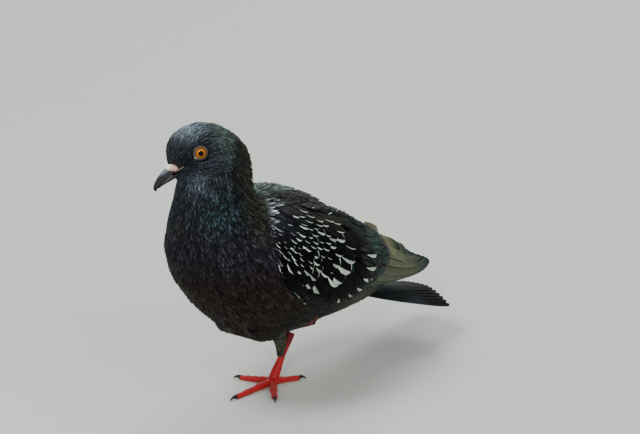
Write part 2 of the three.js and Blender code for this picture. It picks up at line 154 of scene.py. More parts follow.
def moulded(name, nodes, grow, voxel, smoothing):
    """The solids of these nodes run together in one smooth, closed surface."""
    copies = [link(name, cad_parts[node].data.copy()) for node in nodes]
    only(*copies)
    if len(copies) > 1:
        bpy.ops.object.join()
    obj = bpy.context.view_layer.objects.active
    obj.name = name
    edit(obj, bpy.ops.mesh.remove_doubles, threshold=1e-6)
    obj.data.materials.clear()
    apply(obj, "DISPLACE", strength=grow * MM, mid_level=0)
    apply(obj, "REMESH", mode="VOXEL", voxel_size=voxel * MM)
    apply(obj, "SMOOTH", factor=0.5, iterations=smoothing)
    only(obj)
    bpy.ops.object.shade_smooth()
    return obj


def face_out(obj):
    edit(obj, bpy.ops.mesh.normals_make_consistent, inside=False)
    bpy.ops.object.shade_smooth()


def read(items, key, width, kind=float):
    """A property of each vertex, loop or triangle as an array with this many columns."""
    values = np.empty(len(items) * width, kind)
    items.foreach_get(key, values)
    return values.reshape(-1, width)


def points_of(obj):
    return read(obj.data.vertices, "co", 3) / MM


def normals_of(obj):
    return read(obj.data.vertices, "normal", 3)


def set_points(obj, points):
    obj.data.vertices.foreach_set("co", (points * MM).ravel())
    obj.data.update()


def corners_of(node):
    """The corners of one of the solids, in millimetres."""
    return np.array([v.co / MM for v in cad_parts[node].data.vertices], float)


def triangles_of(data):
    data.calc_loop_triangles()
    return read(data.loop_triangles, "vertices", 3, np.int32)


def search_tree(points, corners):
    return BVHTree.FromPolygons(points.tolist(), corners.tolist())


def surface_of(obj):
    """The points, triangles, smooth normals and search tree of a piece."""
    points, corners = points_of(obj), triangles_of(obj.data)
    return points, corners, normals_of(obj), search_tree(points, corners)


def nearest(point, surface):
    """The nearest place on a surface, its smooth outward normal, and its triangle."""
    points, corners, normals, tree = surface
    place, _, index, _ = tree.find_nearest(Vector(point))
    place = np.array(place)
    three = corners[index]
    weights = 1 / (np.linalg.norm(points[three] - place, axis=1) + 1e-3)
    return place, unit((normals[three] * weights[:, None]).sum(axis=0)), index


def give(obj, name, values):
    """A number or a colour for each vertex that the material can read."""
    values = np.asarray(values, np.float32)
    if values.ndim == 2:
        values = np.concatenate([values, np.ones((len(values), 1), np.float32)], axis=1)
    kind, key = ("FLOAT", "value") if values.ndim == 1 else ("FLOAT_COLOR", "color")
    obj.data.attributes.new(name, kind, "POINT").data.foreach_set(key, values.ravel())


def tubes(name, points, closed=False):
    """An object of tubes through points in millimetres, [tube, ring, corner, xyz]. Each is capped at
    its ends or closes on itself."""
    index = np.arange(points.size // 3).reshape(points.shape[:3])
    after = np.roll(index, -1, axis=2)
    if closed:
        faces = [np.stack([index, after, np.roll(after, -1, axis=1), np.roll(index, -1, axis=1)], axis=-1)]
    else:
        faces = [np.stack([index[:, :-1], after[:, :-1], after[:, 1:], index[:, 1:]], axis=-1)]
        faces += [index[:, 0, ::-1], index[:, -1]]
    sizes = np.concatenate([np.full(f.size // f.shape[-1], f.shape[-1]) for f in faces])
    starts = np.concatenate([[0], np.cumsum(sizes)[:-1]])
    loops = np.concatenate([f.ravel() for f in faces])
    mesh = bpy.data.meshes.new(name)
    mesh.vertices.add(points.size // 3)
    mesh.vertices.foreach_set("co", (points * MM).ravel())
    mesh.loops.add(len(loops))
    mesh.loops.foreach_set("vertex_index", loops.astype(np.int32))
    mesh.polygons.add(len(sizes))
    mesh.polygons.foreach_set("loop_start", starts.astype(np.int32))
    mesh.update(calc_edges=True)
    return link(name, mesh)


def finish(obj, material, slot, *nodes):
    """Its material, its place on the bird's one body, and the solids that it stands for."""
    obj.data.materials.clear()
    obj.data.materials.append(material)
    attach(obj, "root")
    if nodes:
        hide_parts(*nodes)


# ---------------------------------------------------------------- materials

SOFT = {"interpolation_type": "SMOOTHSTEP"}  # 0 below From Min, 1 above From Max, with soft ends
RGBA = {"data_type": "RGBA"}


def feed(node, values):
    """Gives sockets their values: a number, a colour, a node, for its first output, or an output."""
    for key, value in values.items():
        if isinstance(value, bpy.types.Node):
            value = value.outputs[0]
        if isinstance(value, bpy.types.NodeSocket):
            node.id_data.links.new(value, node.inputs[key])
        else:
            node.inputs[key].default_value = value


def add(tree, kind, settings=(), values=()):
    """A node with its settings, {property: value} or the name of its operation, and the values of
    its sockets, {socket: value} or a tuple in the sockets' order."""
    node = tree.nodes.new(f"ShaderNode{kind}")
    settings = {"operation": settings} if isinstance(settings, str) else dict(settings)
    for key, value in settings.items():
        setattr(node, key, value)
    feed(node, dict(enumerate(values)) if isinstance(values, tuple) else values)
    return node


def new_material(name, **settings):
    """A material with one shader, whose sockets are given by name with _ for a space."""
    material = bpy.data.materials.new(name)
    material.use_nodes = True
    tree = material.node_tree
    tree.nodes.clear()
    shader = add(tree, "BsdfPrincipled", values={k.replace("_", " "): v for k, v in settings.items()})
    add(tree, "OutputMaterial", values={"Surface": shader})
    return material, tree, shader


def contour_feathers():
    """Contour feathers: soft keratin vanes. Melanin makes them near black, and thin layers in the barbs
    give neck and breast their green and purple gloss. Each vane is painted darker towards its root, as
    shade where the next lies over it, and paler to its tip, partly its own fringe and partly a painted
    highlight."""
    settled = {"Roughness": 0.42, "Specular_IOR_Level": 0.06, "Sheen_Weight": 0.01}
    material, tree, shader = new_material("feather_keratin_contour", **settled)
    tint, gloss = (add(tree, "Attribute", {"attribute_name": name}) for name in ("tint", "gloss"))
    vane = add(tree, "SeparateXYZ", values=(add(tree, "UVMap", {"uv_map": "Vane"}),))
    across, along = vane.outputs["X"], vane.outputs["Y"]
    # Painted shade towards the root of each vane and a painted highlight towards its tip, over its own paler
    # fringe.
    tip = {"Value": along, "From Min": 0.4, "From Max": 1.0, "To Min": 0.45, "To Max": 1.6}
    shade = add(tree, "VectorMath", "SCALE", {0: tint, "Scale": add(tree, "MapRange", values=tip)})
    # Barbs leave the shaft at a slant, drawn coarse enough to show.
    slant = add(tree, "Math", "PINGPONG", (across, 0.5))
    lay = add(tree, "Math", "MULTIPLY_ADD", (slant, 0.9, along))
    barbs = add(tree, "Math", "SINE", (add(tree, "Math", "MULTIPLY", (lay, 75.0)),))
    bump = add(tree, "Bump", values={"Strength": 0.35, "Distance": 0.1 * MM, "Height": barbs})
    feed(shader, {"Base Color": shade, "Metallic": gloss.outputs["Fac"], "Normal": bump})
    return material


def quill_feathers():
    """Coverts and quills of wing and tail: smooth, firm vanes. Each carries its own dark heart and
    pale corners, which together make the checked wing. The barbs show as fine slanting lines."""
    settled = {"Roughness": 0.42, "Specular_IOR_Level": 0.02}
    material, tree, shader = new_material("feather_keratin_quills", **settled)
    tint, pale = (add(tree, "Attribute", {"attribute_name": name}) for name in ("tint", "pale"))
    names = ("mark", "lean", "onset", "half")
    mark, lean, onset, half = (
        add(tree, "Attribute", {"attribute_name": name}).outputs["Fac"] for name in names
    )
    vane = add(tree, "SeparateXYZ", values=(add(tree, "UVMap", {"uv_map": "Vane"}),))
    along = vane.outputs["Y"]
    across = add(tree, "Math", "MULTIPLY_ADD", (vane.outputs["X"], 2.0, -1.0))
    side = add(tree, "Math", "ABSOLUTE", (across,))
    # Barbs run out and towards the tip; a stretched grain follows them.
    slope = add(tree, "Math", "MULTIPLY_ADD", (side, -0.22, along))
    run, out = add(tree, "Math", "MULTIPLY", (slope, 60.0)), add(tree, "Math", "MULTIPLY", (side, 1.2))
    grain = add(tree, "CombineXYZ", values={"X": run, "Y": out})
    place = add(tree, "TexCoord").outputs["Object"]
    apart = add(tree, "VectorMath", "MULTIPLY_ADD", (place, (400, 400, 400), grain))
    barbs = add(tree, "TexNoise", values={"Vector": apart, "Scale": 1.0, "Detail": 2.0})
    # The dark heart narrows towards the tip and leaves the corners pale, but not the tip's middle.
    reach = add(tree, "MapRange", values={"Value": along, "From Min": onset, "From Max": 1.0})
    reach = add(tree, "Math", "MULTIPLY", (reach, mark))
    heart = add(tree, "Math", "MULTIPLY_ADD", (reach, -1.25, 1.5))
    edge = add(tree, "Math", "MULTIPLY", (lean, across))
    edge = add(tree, "Math", "MULTIPLY_ADD", (edge, 0.45, side))
    broad = add(tree, "Math", "MULTIPLY_ADD", (half, 0.55, 0.45))
    edge = add(tree, "Math", "MULTIPLY", (edge, broad))
    edge = add(tree, "Math", "MULTIPLY_ADD", (barbs, 0.14, edge))
    low, high = (add(tree, "Math", "ADD", (heart, further)) for further in (0.07, 0.13))
    spot = add(tree, "MapRange", SOFT, {"Value": edge, "From Min": low, "From Max": high})
    colour = add(tree, "Mix", RGBA, {"Factor": spot, 6: tint, 7: pale}).outputs[2]
    # Worn, thin edges are lighter, the shaft is a fine dark line, and each barb differs a little.
    worn = add(tree, "MapRange", SOFT, {"Value": side, "From Min": 0.86, "From Max": 1.0})
    worn = add(tree, "Math", "MULTIPLY_ADD", (worn, 0.5, 0.5))
    level = add(tree, "Math", "MULTIPLY_ADD", (barbs, 0.8, worn))
    shade = add(tree, "VectorMath", "SCALE", {0: colour, "Scale": level})
    shaft = add(tree, "MapRange", SOFT, {"Value": side, "From Min": 0.02, "From Max": 0.09})
    relief = add(tree, "Math", "MULTIPLY", (barbs, 0.7))
    relief = add(tree, "Math", "MULTIPLY_ADD", (shaft, -0.8, relief))
    bump = add(tree, "Bump", values={"Strength": 0.5, "Distance": 0.12 * MM, "Height": relief})
    feed(shader, {"Base Color": shade, "Normal": bump})
    return material


def plain(name, colour, grain_mm, spread, bump_mm=0.0, **settings):
    """Horn or paper: one colour, clouded by a grain of a real size, with a fine relief."""
    material, tree, shader = new_material(name, **settings)
    place = add(tree, "TexCoord").outputs["Object"]
    grain = add(tree, "TexNoise", values={"Vector": place, "Scale": 1 / (grain_mm * MM), "Detail": 4.0})
    dark, light = linear(colour) * (1 - spread), np.clip(linear(colour) * (1 + spread), 0, 1)
    shade = add(tree, "Mix", RGBA, {"Factor": grain, 6: (*dark, 1), 7: (*light, 1)}).outputs[2]
    feed(shader, {"Base Color": shade})
    if bump_mm:
        bump = add(tree, "Bump", values={"Strength": 0.6, "Distance": bump_mm * MM, "Height": grain})
        feed(shader, {"Normal": bump})
    return material


def tinted(name, grain_mm, spread, bump_mm, **settings):
    """Horn or skin painted by its own tint attribute, clouded by a grain of a real size."""
    settled = {"Coat_Roughness": 0.03, "Subsurface_Scale": 0.001, **settings}
    material, tree, shader = new_material(name, **settled)
    tint = add(tree, "Attribute", {"attribute_name": "tint"})
    place = add(tree, "TexCoord").outputs["Object"]
    grain = add(tree, "TexNoise", values={"Vector": place, "Scale": 1 / (grain_mm * MM), "Detail": 4.0})
    level = add(tree, "Math", "MULTIPLY_ADD", (grain, 2 * spread, 1 - spread))
    shade = add(tree, "VectorMath", "SCALE", {0: tint, "Scale": level})
    bump = add(tree, "Bump", values={"Strength": 0.7, "Distance": bump_mm * MM, "Height": grain})
    feed(shader, {"Base Color": shade, "Normal": bump})
    return material


def scaled_skin():
    """The horny scales of the legs: bands across shank and toes, red with pale seams between them,
    and a pebbled orange sole. along is in millimetres and under is 1 on the sole; the last of the three
    attributes is painted shade, which dulls the colour high on the standing shank and all over the
    drawn-up foot."""
    settled = {"Roughness": 0.45, "Specular_IOR_Level": 0.3, "Subsurface_Weight": 0.08}
    material, tree, shader = new_material("scaled_skin_of_legs", Subsurface_Scale=0.001, **settled)
    names = ("along", "under", "unshaded")
    along, under, unshaded = (
        add(tree, "Attribute", {"attribute_name": name}).outputs["Fac"] for name in names
    )
    place = add(tree, "TexCoord").outputs["Object"]
    cloud = add(tree, "TexNoise", values={"Vector": place, "Scale": 450.0, "Detail": 3.0})
    edges = {"feature": "DISTANCE_TO_EDGE"}
    edges = add(tree, "TexVoronoi", edges, {"Vector": place, "Scale": 1150.0})
    wave = add(tree, "Math", "MULTIPLY_ADD", (cloud, 0.7, along))
    wave = add(tree, "Math", "SINE", (add(tree, "Math", "MULTIPLY", (wave, math.pi / 1.7)),))
    band = add(tree, "Math", "ABSOLUTE", (wave,))
    plate, pebble, sole = (
        add(tree, "MapRange", SOFT, {"Value": value, "From Min": low, "From Max": high})
        for value, low, high in ((band, 0.04, 0.42), (edges, 0.0, 0.16), (under, 0.35, 0.65))
    )
    bands = {"Factor": plate, 6: (*linear("#b8322f"), 1), 7: (*linear("#a80c17"), 1)}
    pebbles = {"Factor": pebble, 6: (*linear("#9c3a1e"), 1), 7: (*linear("#d5672b"), 1)}
    bands, pebbles = (add(tree, "Mix", RGBA, colours).outputs[2] for colours in (bands, pebbles))
    colour = add(tree, "Mix", RGBA, {"Factor": sole, 6: bands, 7: pebbles}).outputs[2]
    level = add(tree, "Math", "MULTIPLY_ADD", (cloud, 0.7, 0.65))
    level = add(tree, "Math", "MULTIPLY", (level, unshaded))
    shade = add(tree, "VectorMath", "SCALE", {0: colour, "Scale": level})
    relief = add(tree, "Mix", {"data_type": "FLOAT"}, {0: sole, 2: plate, 3: pebble})
    bump = add(tree, "Bump", values={"Strength": 0.8, "Distance": 0.22 * MM, "Height": relief})
    feed(shader, {"Base Color": shade, "Normal": bump})
    return material


def eye_surface():
    """The eye: a black pupil, an orange iris that is golden towards the middle and rimmed with dark
    red, and the wet clear layer over them."""
    settled = {"Roughness": 0.5, "Specular_IOR_Level": 0.0, "Coat_Weight": 0.25, "Coat_Roughness": 0.02}
    material, tree, shader = new_material("wet_eye_orange", **settled)
    place = add(tree, "TexCoord").outputs["Object"]
    grain = add(tree, "TexNoise", values={"Vector": place, "Scale": 2600.0, "Detail": 2.0})
    off_axis = add(tree, "Attribute", {"attribute_name": "off_axis"}).outputs["Fac"]
    uneven = add(tree, "Math", "MULTIPLY_ADD", (grain, 0.03, off_axis))
    ramp = add(tree, "ValToRGB", values=(add(tree, "Math", "SUBTRACT", (uneven, 0.015)),))
    pupil, edge = PUPIL / 90, IRIS_EDGE / 90
    stops = [
        (0.0, "#050404"),
        (pupil - 0.01, "#060404"),
        (pupil + 0.012, "#5c280a"),
        (pupil + 0.05, "#94520a"),
        (pupil + 0.11, "#b87812"),
        (edge - 0.13, "#b06410"),
        (edge - 0.07, "#87350a"),
        (edge - 0.02, "#1e0b06"),
        (1.0, "#15100e"),
    ]
    elements = ramp.color_ramp.elements
    while len(elements) < len(stops):
        elements.new(0.5)
    for element, (where, colour) in zip(elements, stops):
        element.position, element.color = where, (*linear(colour), 1)
    feed(shader, {"Base Color": ramp})
    return material


# ---------------------------------------------------------------- skin

node_points, node_faces, face_region = [], [], []
for name in FLESH:
    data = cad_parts[name].data
    first = len(node_points)
    node_points += [v.co.copy() for v in data.vertices]
    node_faces += (triangles_of(data) + first).tolist()
    face_region += [REGIONS.index(name.split("_")[0])] * len(data.loop_triangles)
solid_tree = BVHTree.FromPolygons(node_points, node_faces)


def region_of(points):
    """The part of the body, as a number in REGIONS, that each point lies on."""
    return np.array([face_region[solid_tree.find_nearest(Vector(p * MM))[2]] for p in points])


GROWN = 0.35  # before the nodes are run together
skin = moulded("skin", FLESH, grow=GROWN, voxel=1.1, smoothing=14)
skin_points, _, skin_normals, whole = surface_of(skin)
skin_region = region_of(skin_points)
depth = COAT_DEPTH[skin_region] + GROWN
# Thin edges, such as the wing's, are taken in by little more than a third of their thickness.
for n in np.flatnonzero((skin_region == WING) | (skin_region == THIGH)):
    inward = Vector(-skin_normals[n])
    hit = whole.ray_cast(Vector(skin_points[n]) + inward * 0.05, inward, 12)
    if hit[0]:
        depth[n] = min(depth[n], hit[3] * 0.38)
set_points(skin, skin_points - skin_normals * depth[:, None])
apply(skin, "SMOOTH", factor=0.5, iterations=4)
edit(skin, bpy.ops.uv.smart_project, angle_limit=math.radians(66), island_margin=0.004)
skin.data.uv_layers[0].name = "OFBake"

skin_surface = surface_of(skin)
skin_points, triangles, skin_normals, _ = skin_surface
corner_loops = read(skin.data.loop_triangles, "loops", 3, np.int32)
triangle_uv = read(skin.data.uv_layers["OFBake"].data, "uv", 2)[corner_loops]

# Feathers bridge the hollows of the body: the one round the drawn-up foot, and the crease along
# each wing. Below the head the coat is laid on a fuller form that fills them.
FILL = 4.5
full = moulded("full_form", FLESH + DRAWN_UP, grow=FILL, voxel=1.5, smoothing=4)
form = points_of(full)
depth = FILL + FULL_DEPTH[region_of(form)]
foot_points = np.concatenate([corners_of(node) for node in DRAWN_UP])
foot_tree = KDTree(len(foot_points))
for n, place in enumerate(foot_points):
    foot_tree.insert(Vector(place), n)
foot_tree.balance()
# It stands out further over the drawn-up foot, from the claws' tips back to the hock.
off = np.array([foot_tree.find(Vector(p))[2] for p in form])
over = 1 - smoothstep(off, 4.5, 12)
over = over * (1 - smoothstep(form[:, 1], HOCK[1] - 20, HOCK[1] - 8)) * smoothstep(form[:, 1], -84, -71)
depth = depth - 3.2 * over
set_points(full, form - normals_of(full) * depth[:, None])
apply(full, "SMOOTH", factor=0.5, iterations=10)
full_surface = surface_of(full)
bpy.data.objects.remove(full)


def lay_of_coat(point):
    """The surface that a feather rooted here is laid on."""
    place, normal, _ = nearest(point, skin_surface)
    if point[2] > 150:
        return place, normal, skin_surface
    bridge, above, _ = nearest(point, full_surface)
    if (bridge - place) @ normal > 0.3:
        return bridge, above, full_surface
    return place, normal, skin_surface


# ---------------------------------------------------------------- the lie of the coat

head_turn = np.array(Matrix.Rotation(HEAD_TURN, 3, "Z") @ Matrix.Rotation(HEAD_PITCH, 3, "X"))


def head_place(points):
    """Points of the head's frame in the bird's."""
    return np.asarray(points, float) @ head_turn.T + HEAD_AT


def in_head(points):
    """The bird's points in the head's frame."""
    return (np.asarray(points, float) - HEAD_AT) @ head_turn


spine_runs = unit(SPINE[:-1] - SPINE[1:])  # each towards the tail
spine_middles = (SPINE[:-1] + SPINE[1:]) / 2
BILL_ROOT = head_place([(0, -19, -1)])[0]
EYES = head_place([EYE_AT, EYE_AT * (-1, 1, 1)])


def lie(points, regions):
    """The way the feathers point at each place, before it is laid along the skin."""
    distance = np.linalg.norm(points[:, None] - spine_middles, axis=2)
    weights = 1 / (distance + 1) ** 4
    along = unit((weights[..., None] * spine_runs).sum(axis=1))
    down = np.zeros_like(points) + (0, 0.1, -1)
    body = along + (0.12, 0, 0) * np.sign(points[:, :1]) * smoothstep(points[:, 2:3], 60, 110)
    from_bill = unit(points - BILL_ROOT)
    turn = smoothstep(np.linalg.norm(points - BILL_ROOT, axis=1), 18, 40)[:, None]
    head = from_bill * (1 - turn) + (0.5 * from_bill + 0.8 * down) * turn
    lay = np.where((regions == HEAD)[:, None], head, body)
    lay = np.where((regions == THIGH)[:, None], unit(down + (0, 0.5, 0)), lay)
    return unit(lay)


# ---------------------------------------------------------------- vanes

# A vane's outline: [place along it, half width], and its section across as [across, height].
TUFT = np.array([(0, 0.35), (0.25, 0.85), (0.5, 1.0), (0.72, 0.8), (0.9, 0.4), (1.0, 0.05)])
QUILL = np.array(
    [(0, 0.3), (0.12, 0.6), (0.3, 0.86), (0.5, 1.0), (0.66, 1.0), (0.78, 0.93)]
    + [(0.87, 0.8), (0.93, 0.64), (0.97, 0.45), (0.992, 0.25), (1.0, 0.06)]
)
LONG = np.array(
    [(0, 0.4), (0.15, 0.72), (0.35, 0.95), (0.6, 1.0), (0.75, 0.97)]
    + [(0.86, 0.86), (0.93, 0.68), (0.97, 0.48), (0.992, 0.27), (1.0, 0.07)]
)
TUFT_SECTION = np.array([(-1, 0), (0, 1), (1, 0)], float)
QUILL_SECTION = np.array(
    [(-1, 0), (-0.6, 0.65), (-0.2, 0.95), (0.2, 0.95), (0.6, 0.65), (1, 0), (0.5, 0.2), (-0.5, 0.2)], float
)


def build_vanes(name, paths, normals, widths, thick, outline, section, centres, patch, roll=0.0, camber=0.0):
    """All the vanes of one piece. paths and normals are [vane, station]; centres are the places on
    the bake map and patch the width of each vane there. roll lifts the +across edge of each vane,
    in radians, and camber is how far its edges bend down, in parts of its half width."""
    along = unit(np.gradient(paths, axis=1))
    side = unit(np.cross(along, normals))
    up = unit(np.cross(side, along))
    turn = np.broadcast_to(np.asarray(roll, float), len(paths))[:, None, None]
    side, up = side * np.cos(turn) + up * np.sin(turn), up * np.cos(turn) - side * np.sin(turn)
    half = (widths[:, None] * outline[:, 1])[:, :, None, None]
    across = section[:, 0][None, None, :, None]
    height = section[:, 1][None, None, :, None]
    side, up = side[:, :, None], up[:, :, None]
    points = paths[:, :, None] + side * half * across
    points = points + up * height * thick[:, None, None, None] - up * across**2 * half * camber
    obj = tubes(name, points)
    # Across and along each vane, for its barbs and markings.
    u = np.broadcast_to((section[:, 0] + 1) / 2, points.shape[:3])
    v = np.broadcast_to(outline[:, 0][None, :, None], points.shape[:3])
    vane_uv = np.stack([u, v], axis=-1).reshape(-1, 2)
    sheet = (vane_uv - 0.5) * patch + np.repeat(centres, points[0].size // 3, axis=0)
    corners = read(obj.data.loops, "vertex_index", 1, np.int32)[:, 0]
    for layer, values in (("OFBake", sheet), ("Vane", vane_uv)):
        obj.data.uv_layers.new(name=layer).data.foreach_set("uv", values[corners].astype(np.float32).ravel())
    only(obj)
    bpy.ops.object.shade_smooth_by_angle(angle=math.radians(70))
    return obj


def give_vanes(obj, name, values):
    """Each vane's value for each of its vertices."""
    give(obj, name, np.repeat(values, len(obj.data.vertices) // len(values), axis=0))


def coat_paths(roots, ways, lengths, lifts, outline, base=None):
    """Shafts laid over the skin, or over a base, from each root, rising to their tips."""
    count, stations = len(roots), len(outline)
    paths, ups = np.empty((2, count, stations, 3))
    steps = np.diff(outline[:, 0], prepend=0)
    for i, (root, way) in enumerate(zip(roots, ways)):
        place, normal, surface = (*nearest(root, base)[:2], base) if base else lay_of_coat(root)
        for k in range(stations):
            if k:
                place, normal, _ = nearest(place + way * steps[k] * lengths[i], surface)
            way = unit(way - normal * (way @ normal))
            paths[i, k] = place + normal * lifts[i] * (outline[k, 0] ** 1.1 - 0.12)
            ups[i, k] = normal
    return paths, ups


def scatter(spacing_at, tries):
    """Roots over the skin, no closer than spacing_at(points, regions) says."""
    corners = skin_points[triangles]
    origin, one, other = corners[:, 0], corners[:, 1], corners[:, 2]
    areas = np.linalg.norm(np.cross(one - origin, other - origin), axis=1)
    chosen = rng.choice(len(areas), tries, p=areas / areas.sum())
    a, b = rng.rand(2, tries)
    flip = a + b > 1
    a[flip], b[flip] = 1 - a[flip], 1 - b[flip]
    points = origin[chosen] * (1 - a - b)[:, None] + one[chosen] * a[:, None] + other[chosen] * b[:, None]
    regions = skin_region[triangles[chosen, 0]]
    spacing = spacing_at(points, regions)
    cell = 2.0  # mm, of the grid that finds the roots near each one
    keys = np.floor(points / cell).astype(int)
    taken, kept = {}, []
    for n in np.flatnonzero(spacing):
        x, y, z = keys[n]
        span = int(math.ceil(spacing[n] / cell))
        reach = range(-span, span + 1)
        around = ((x + i, y + j, z + k) for i in reach for j in reach for k in reach)
        apart = (points[other] - points[n] for key in around for other in taken.get(key, ()))
        if all(d @ d >= spacing[n] * spacing[n] for d in apart):
            taken.setdefault((x, y, z), []).append(n)
            kept.append(n)
    kept = np.array(kept)
    return points[kept], regions[kept], chosen[kept]


# ---------------------------------------------------------------- colours of the coat

# The gloss of the neck lies in patches: [middle, shares of x, y and z in the distance].
TEAL_AT, TEAL_SHARES = np.array((18, -99, 142)), (0.7, 1, 0.62)
PURPLE_AT, PURPLE_SHARES = np.array((24, -97, 116)), (0.6, 1, 0.8)
# The small feathers at the point of the shoulder, along this line, get a painted highlight where the light
# catches them.
SHOULDER = np.array(((17.0, -57.0, 136.5), (34.0, -68.5, 127.0)))
# The grey of the head ends along a line from the throat, under the cheek, up to the nape.
HEAD_BORDER = ((-24, -16, -8, 0, 8, 16, 24), (-17, -20, -21, -20, -15, -8, 0))


def from_line(points, start, end):
    """The distance of each point from a line between two places."""
    run = end - start
    t = np.clip((points - start) @ run / (run @ run), 0, 1)
    return np.linalg.norm(points - start - t[:, None] * run, axis=1)


def coat_colours(points, regions, normals):
    """The markings of skin and coat, with light painted on the crown, the shoulders, the ridge of the back
    and low on the shank: a colour and a gloss for each place.
    """
    x, y, z = points.T
    side = np.abs(x)
    folded = np.stack([side, y, z], axis=1)
    count = len(points)
    # The ridge of the back, where rim light is painted onto the mantle.
    ridge = smoothstep(y, -76, -66) * (1 - smoothstep(side, 3, 13))
    # The long inner feathers at the rear of each wing are dark teal.
    over_wing = np.maximum(regions == WING, smoothstep(side, 8, 14))
    rear = smoothstep(y, -8, 14) * smoothstep(z, 78, 92) * over_wing
    # Painted highlight: pale blue-grey on the feathers along the shoulder's line, at random strengths.
    shoulder = (1 - smoothstep(from_line(folded, *SHOULDER), 1.5, 6.5)) * rng.uniform(0.0, 0.85, count)
    body = painted(
        "#1d1615",
        ("#100f0c", smoothstep(y, -80, -45) * smoothstep(-z, -90, -60)),  # belly
        ("#2c3025", smoothstep(y, -25, 20) * smoothstep(-z, -85, -60)),  # vent
        ("#1c1e1b", smoothstep(normals[:, 2], 0.1, 0.5) * smoothstep(y, -85, -60)),  # back
        ("#52625c", near(points, (0, -58, 134), 50) * ridge),  # mantle: its own green-grey, with painted rim light along the ridge of the back
        ("#1f312e", rear),
        ("#8f3a22", 3 * near(points, HOCK + (0, 0, 0.5), 4.5)),  # bare skin at the hock
        ("#4d4c42", (regions == THIGH) * (1 - smoothstep(z, 26, 56))),  # low on the shank the feathers are painted paler: painted light where they lie in the shade of the body
    )
    # The gloss of the neck: a teal patch on each side, bronze in front, dark green at the nape and
    # purple below. Each feather has its own share of it.
    fire = rng.beta(0.55, 1.7, count)
    teal = near(folded * TEAL_SHARES, TEAL_AT * TEAL_SHARES, 17)
    purple = near(folded * PURPLE_SHARES, PURPLE_AT * PURPLE_SHARES, 17)
    neck = painted(
        "#3d3d40",
        ("#40402f", smoothstep(y, -92, -76)),
        ("#3d2f42", 1 - smoothstep(z, 112, 132)),
        ("#38535b", teal * 1.7),
        ("#47374f", purple * 1.1),
    )
    share = fire * (0.3 + 0.7 * np.maximum(np.maximum(teal, 0.8 * purple), 0.2))
    share = np.maximum(share, 0.9 * smoothstep(y, -92, -80) * rng.beta(0.8, 2.2, count))
    black = linear("#141619")
    neck = black + (neck - black) * share[:, None]
    on_neck = smoothstep(z, 92, 116) * (1 - smoothstep(y, -66, -56))
    body = painted(body + (neck - body) * on_neck[:, None], ("#b3bdca", shoulder))
    gloss = 0.03 + 0.4 * on_neck * share * (1 - shoulder) * (1 - 0.8 * smoothstep(y, -92, -80))
    local = in_head(points)
    flat = local * (0, 1, 1)
    head = painted(
        "#292e35",
        ("#302e37", near(local, (0, -10, 13), 14)),  # forehead
        ("#75828d", near(local, (0, 3, 17), 16.5)),  # crown, with a painted highlight of the sky on it
        ("#454e58", near(flat, (0, -12, -12), 9)),  # throat
        ("#1c1e24", near(flat, (0, -10, 1), 9)),  # between bill and eye
        ("#3b4744", smoothstep(local[:, 1] - 0.3 * local[:, 2], 6, 15)),  # back of the head
        ("#30353c", near(flat, (0, 6, -6), 9)),  # cheek
    )
    border = np.interp(local[:, 1], *HEAD_BORDER)
    on_head = smoothstep(local[:, 2] - border + rng.normal(0, 2.0, count), -6, 5) * (z > 130)
    return body + (head - body) * on_head[:, None], gloss * (1 - on_head) + 0.06 * on_head


# ---------------------------------------------------------------- contour feathers


def in_cere(local):
    """Below 1 within the cere's bulge."""
    return np.linalg.norm(((local - CERE_AT) @ CERE_LEAN.T) / (CERE_HALF + 0.1), axis=1)


def mantle_edge(y):
    """How far from the midline the feathers of the back reach over each wing."""
    return np.interp(y, (-66, -57, -15, 5, 22, 40), (10, 21, 27, 24, 16, 10))


def coat_spacing(points, regions):
    """Room for each tuft. It is finest on the face; 0 keeps the place bare."""
    from_bill = np.linalg.norm(points - BILL_ROOT, axis=1)
    spacing = np.interp(from_bill, (0, 12, 30, 50, 85, 130), (0.6, 0.78, 0.95, 1.15, 1.55, 2.1))
    spacing = spacing + 0.7 * smoothstep(points[:, 2], 95, 115) * smoothstep(points[:, 1], -70, -50)
    for eye in EYES:
        off = np.linalg.norm(points - eye, axis=1)
        spacing = np.where(off < 5.0, 0, np.minimum(spacing, 0.75 + 0.12 * np.maximum(off - 5.0, 0)))
    local = in_head(points)
    local[:, 0] = np.abs(local[:, 0])
    spacing = np.where(in_cere(local) < 1.0, 0, spacing)
    for start, end in zip(GAPE[:-1], GAPE[1:]):
        spacing = np.where(from_line(local, start, end) < 0.8, 0, spacing)
    shank = (regions == THIGH) & (points[:, 2] < 50)
    spacing = np.where(shank, np.minimum(spacing, 1.15), spacing)
    from_fan = np.linalg.norm(points[:, 1:] - FAN_AT, axis=1)
    bare = (regions == WING) & (np.abs(points[:, 0]) > mantle_edge(points[:, 1])) & (from_fan > 27)
    return np.where(bare, 0, spacing)


roots, root_regions, root_faces = scatter(coat_spacing, tries=300000)
# More feathers roof the hollow that the drawn-up foot lies in, this many for each one there.
ROOF = 6
by_foot = np.flatnonzero((roots[:, 2] < 66) & (np.abs(roots[:, 1] + 58) < 30))
bridged = [i for i in by_foot if np.linalg.norm(lay_of_coat(roots[i])[0] - roots[i]) > 1.5]
more = np.repeat(bridged, ROOF)
roof = np.append(np.zeros(len(roots), bool), np.ones(len(more), bool))
roots = np.vstack([roots, roots[more] + rng.normal(0, 2.0, (len(more), 3))])
root_regions = np.append(root_regions, root_regions[more])
root_faces = np.append(root_faces, root_faces[more])
count = len(roots)
on_thigh, on_neck, on_trunk = (root_regions == region for region in (THIGH, NECK, TRUNK))

ways = lie(roots, root_regions)
ways = unit(ways + rng.normal(0, 0.09, ways.shape))
room = coat_spacing(roots, root_regions)
lengths = room * 3.9 * rng.uniform(0.85, 1.2, count)
widths = room * 0.62 * rng.uniform(0.85, 1.15, count) * np.where(roof, 1.5, 1)
lifts = np.interp(room, (0.6, 0.9, 1.2, 1.6, 2.4), (0.45, 0.7, 1.0, 1.7, 2.1))
lifts = lifts * rng.uniform(0.75, 1.15, count)
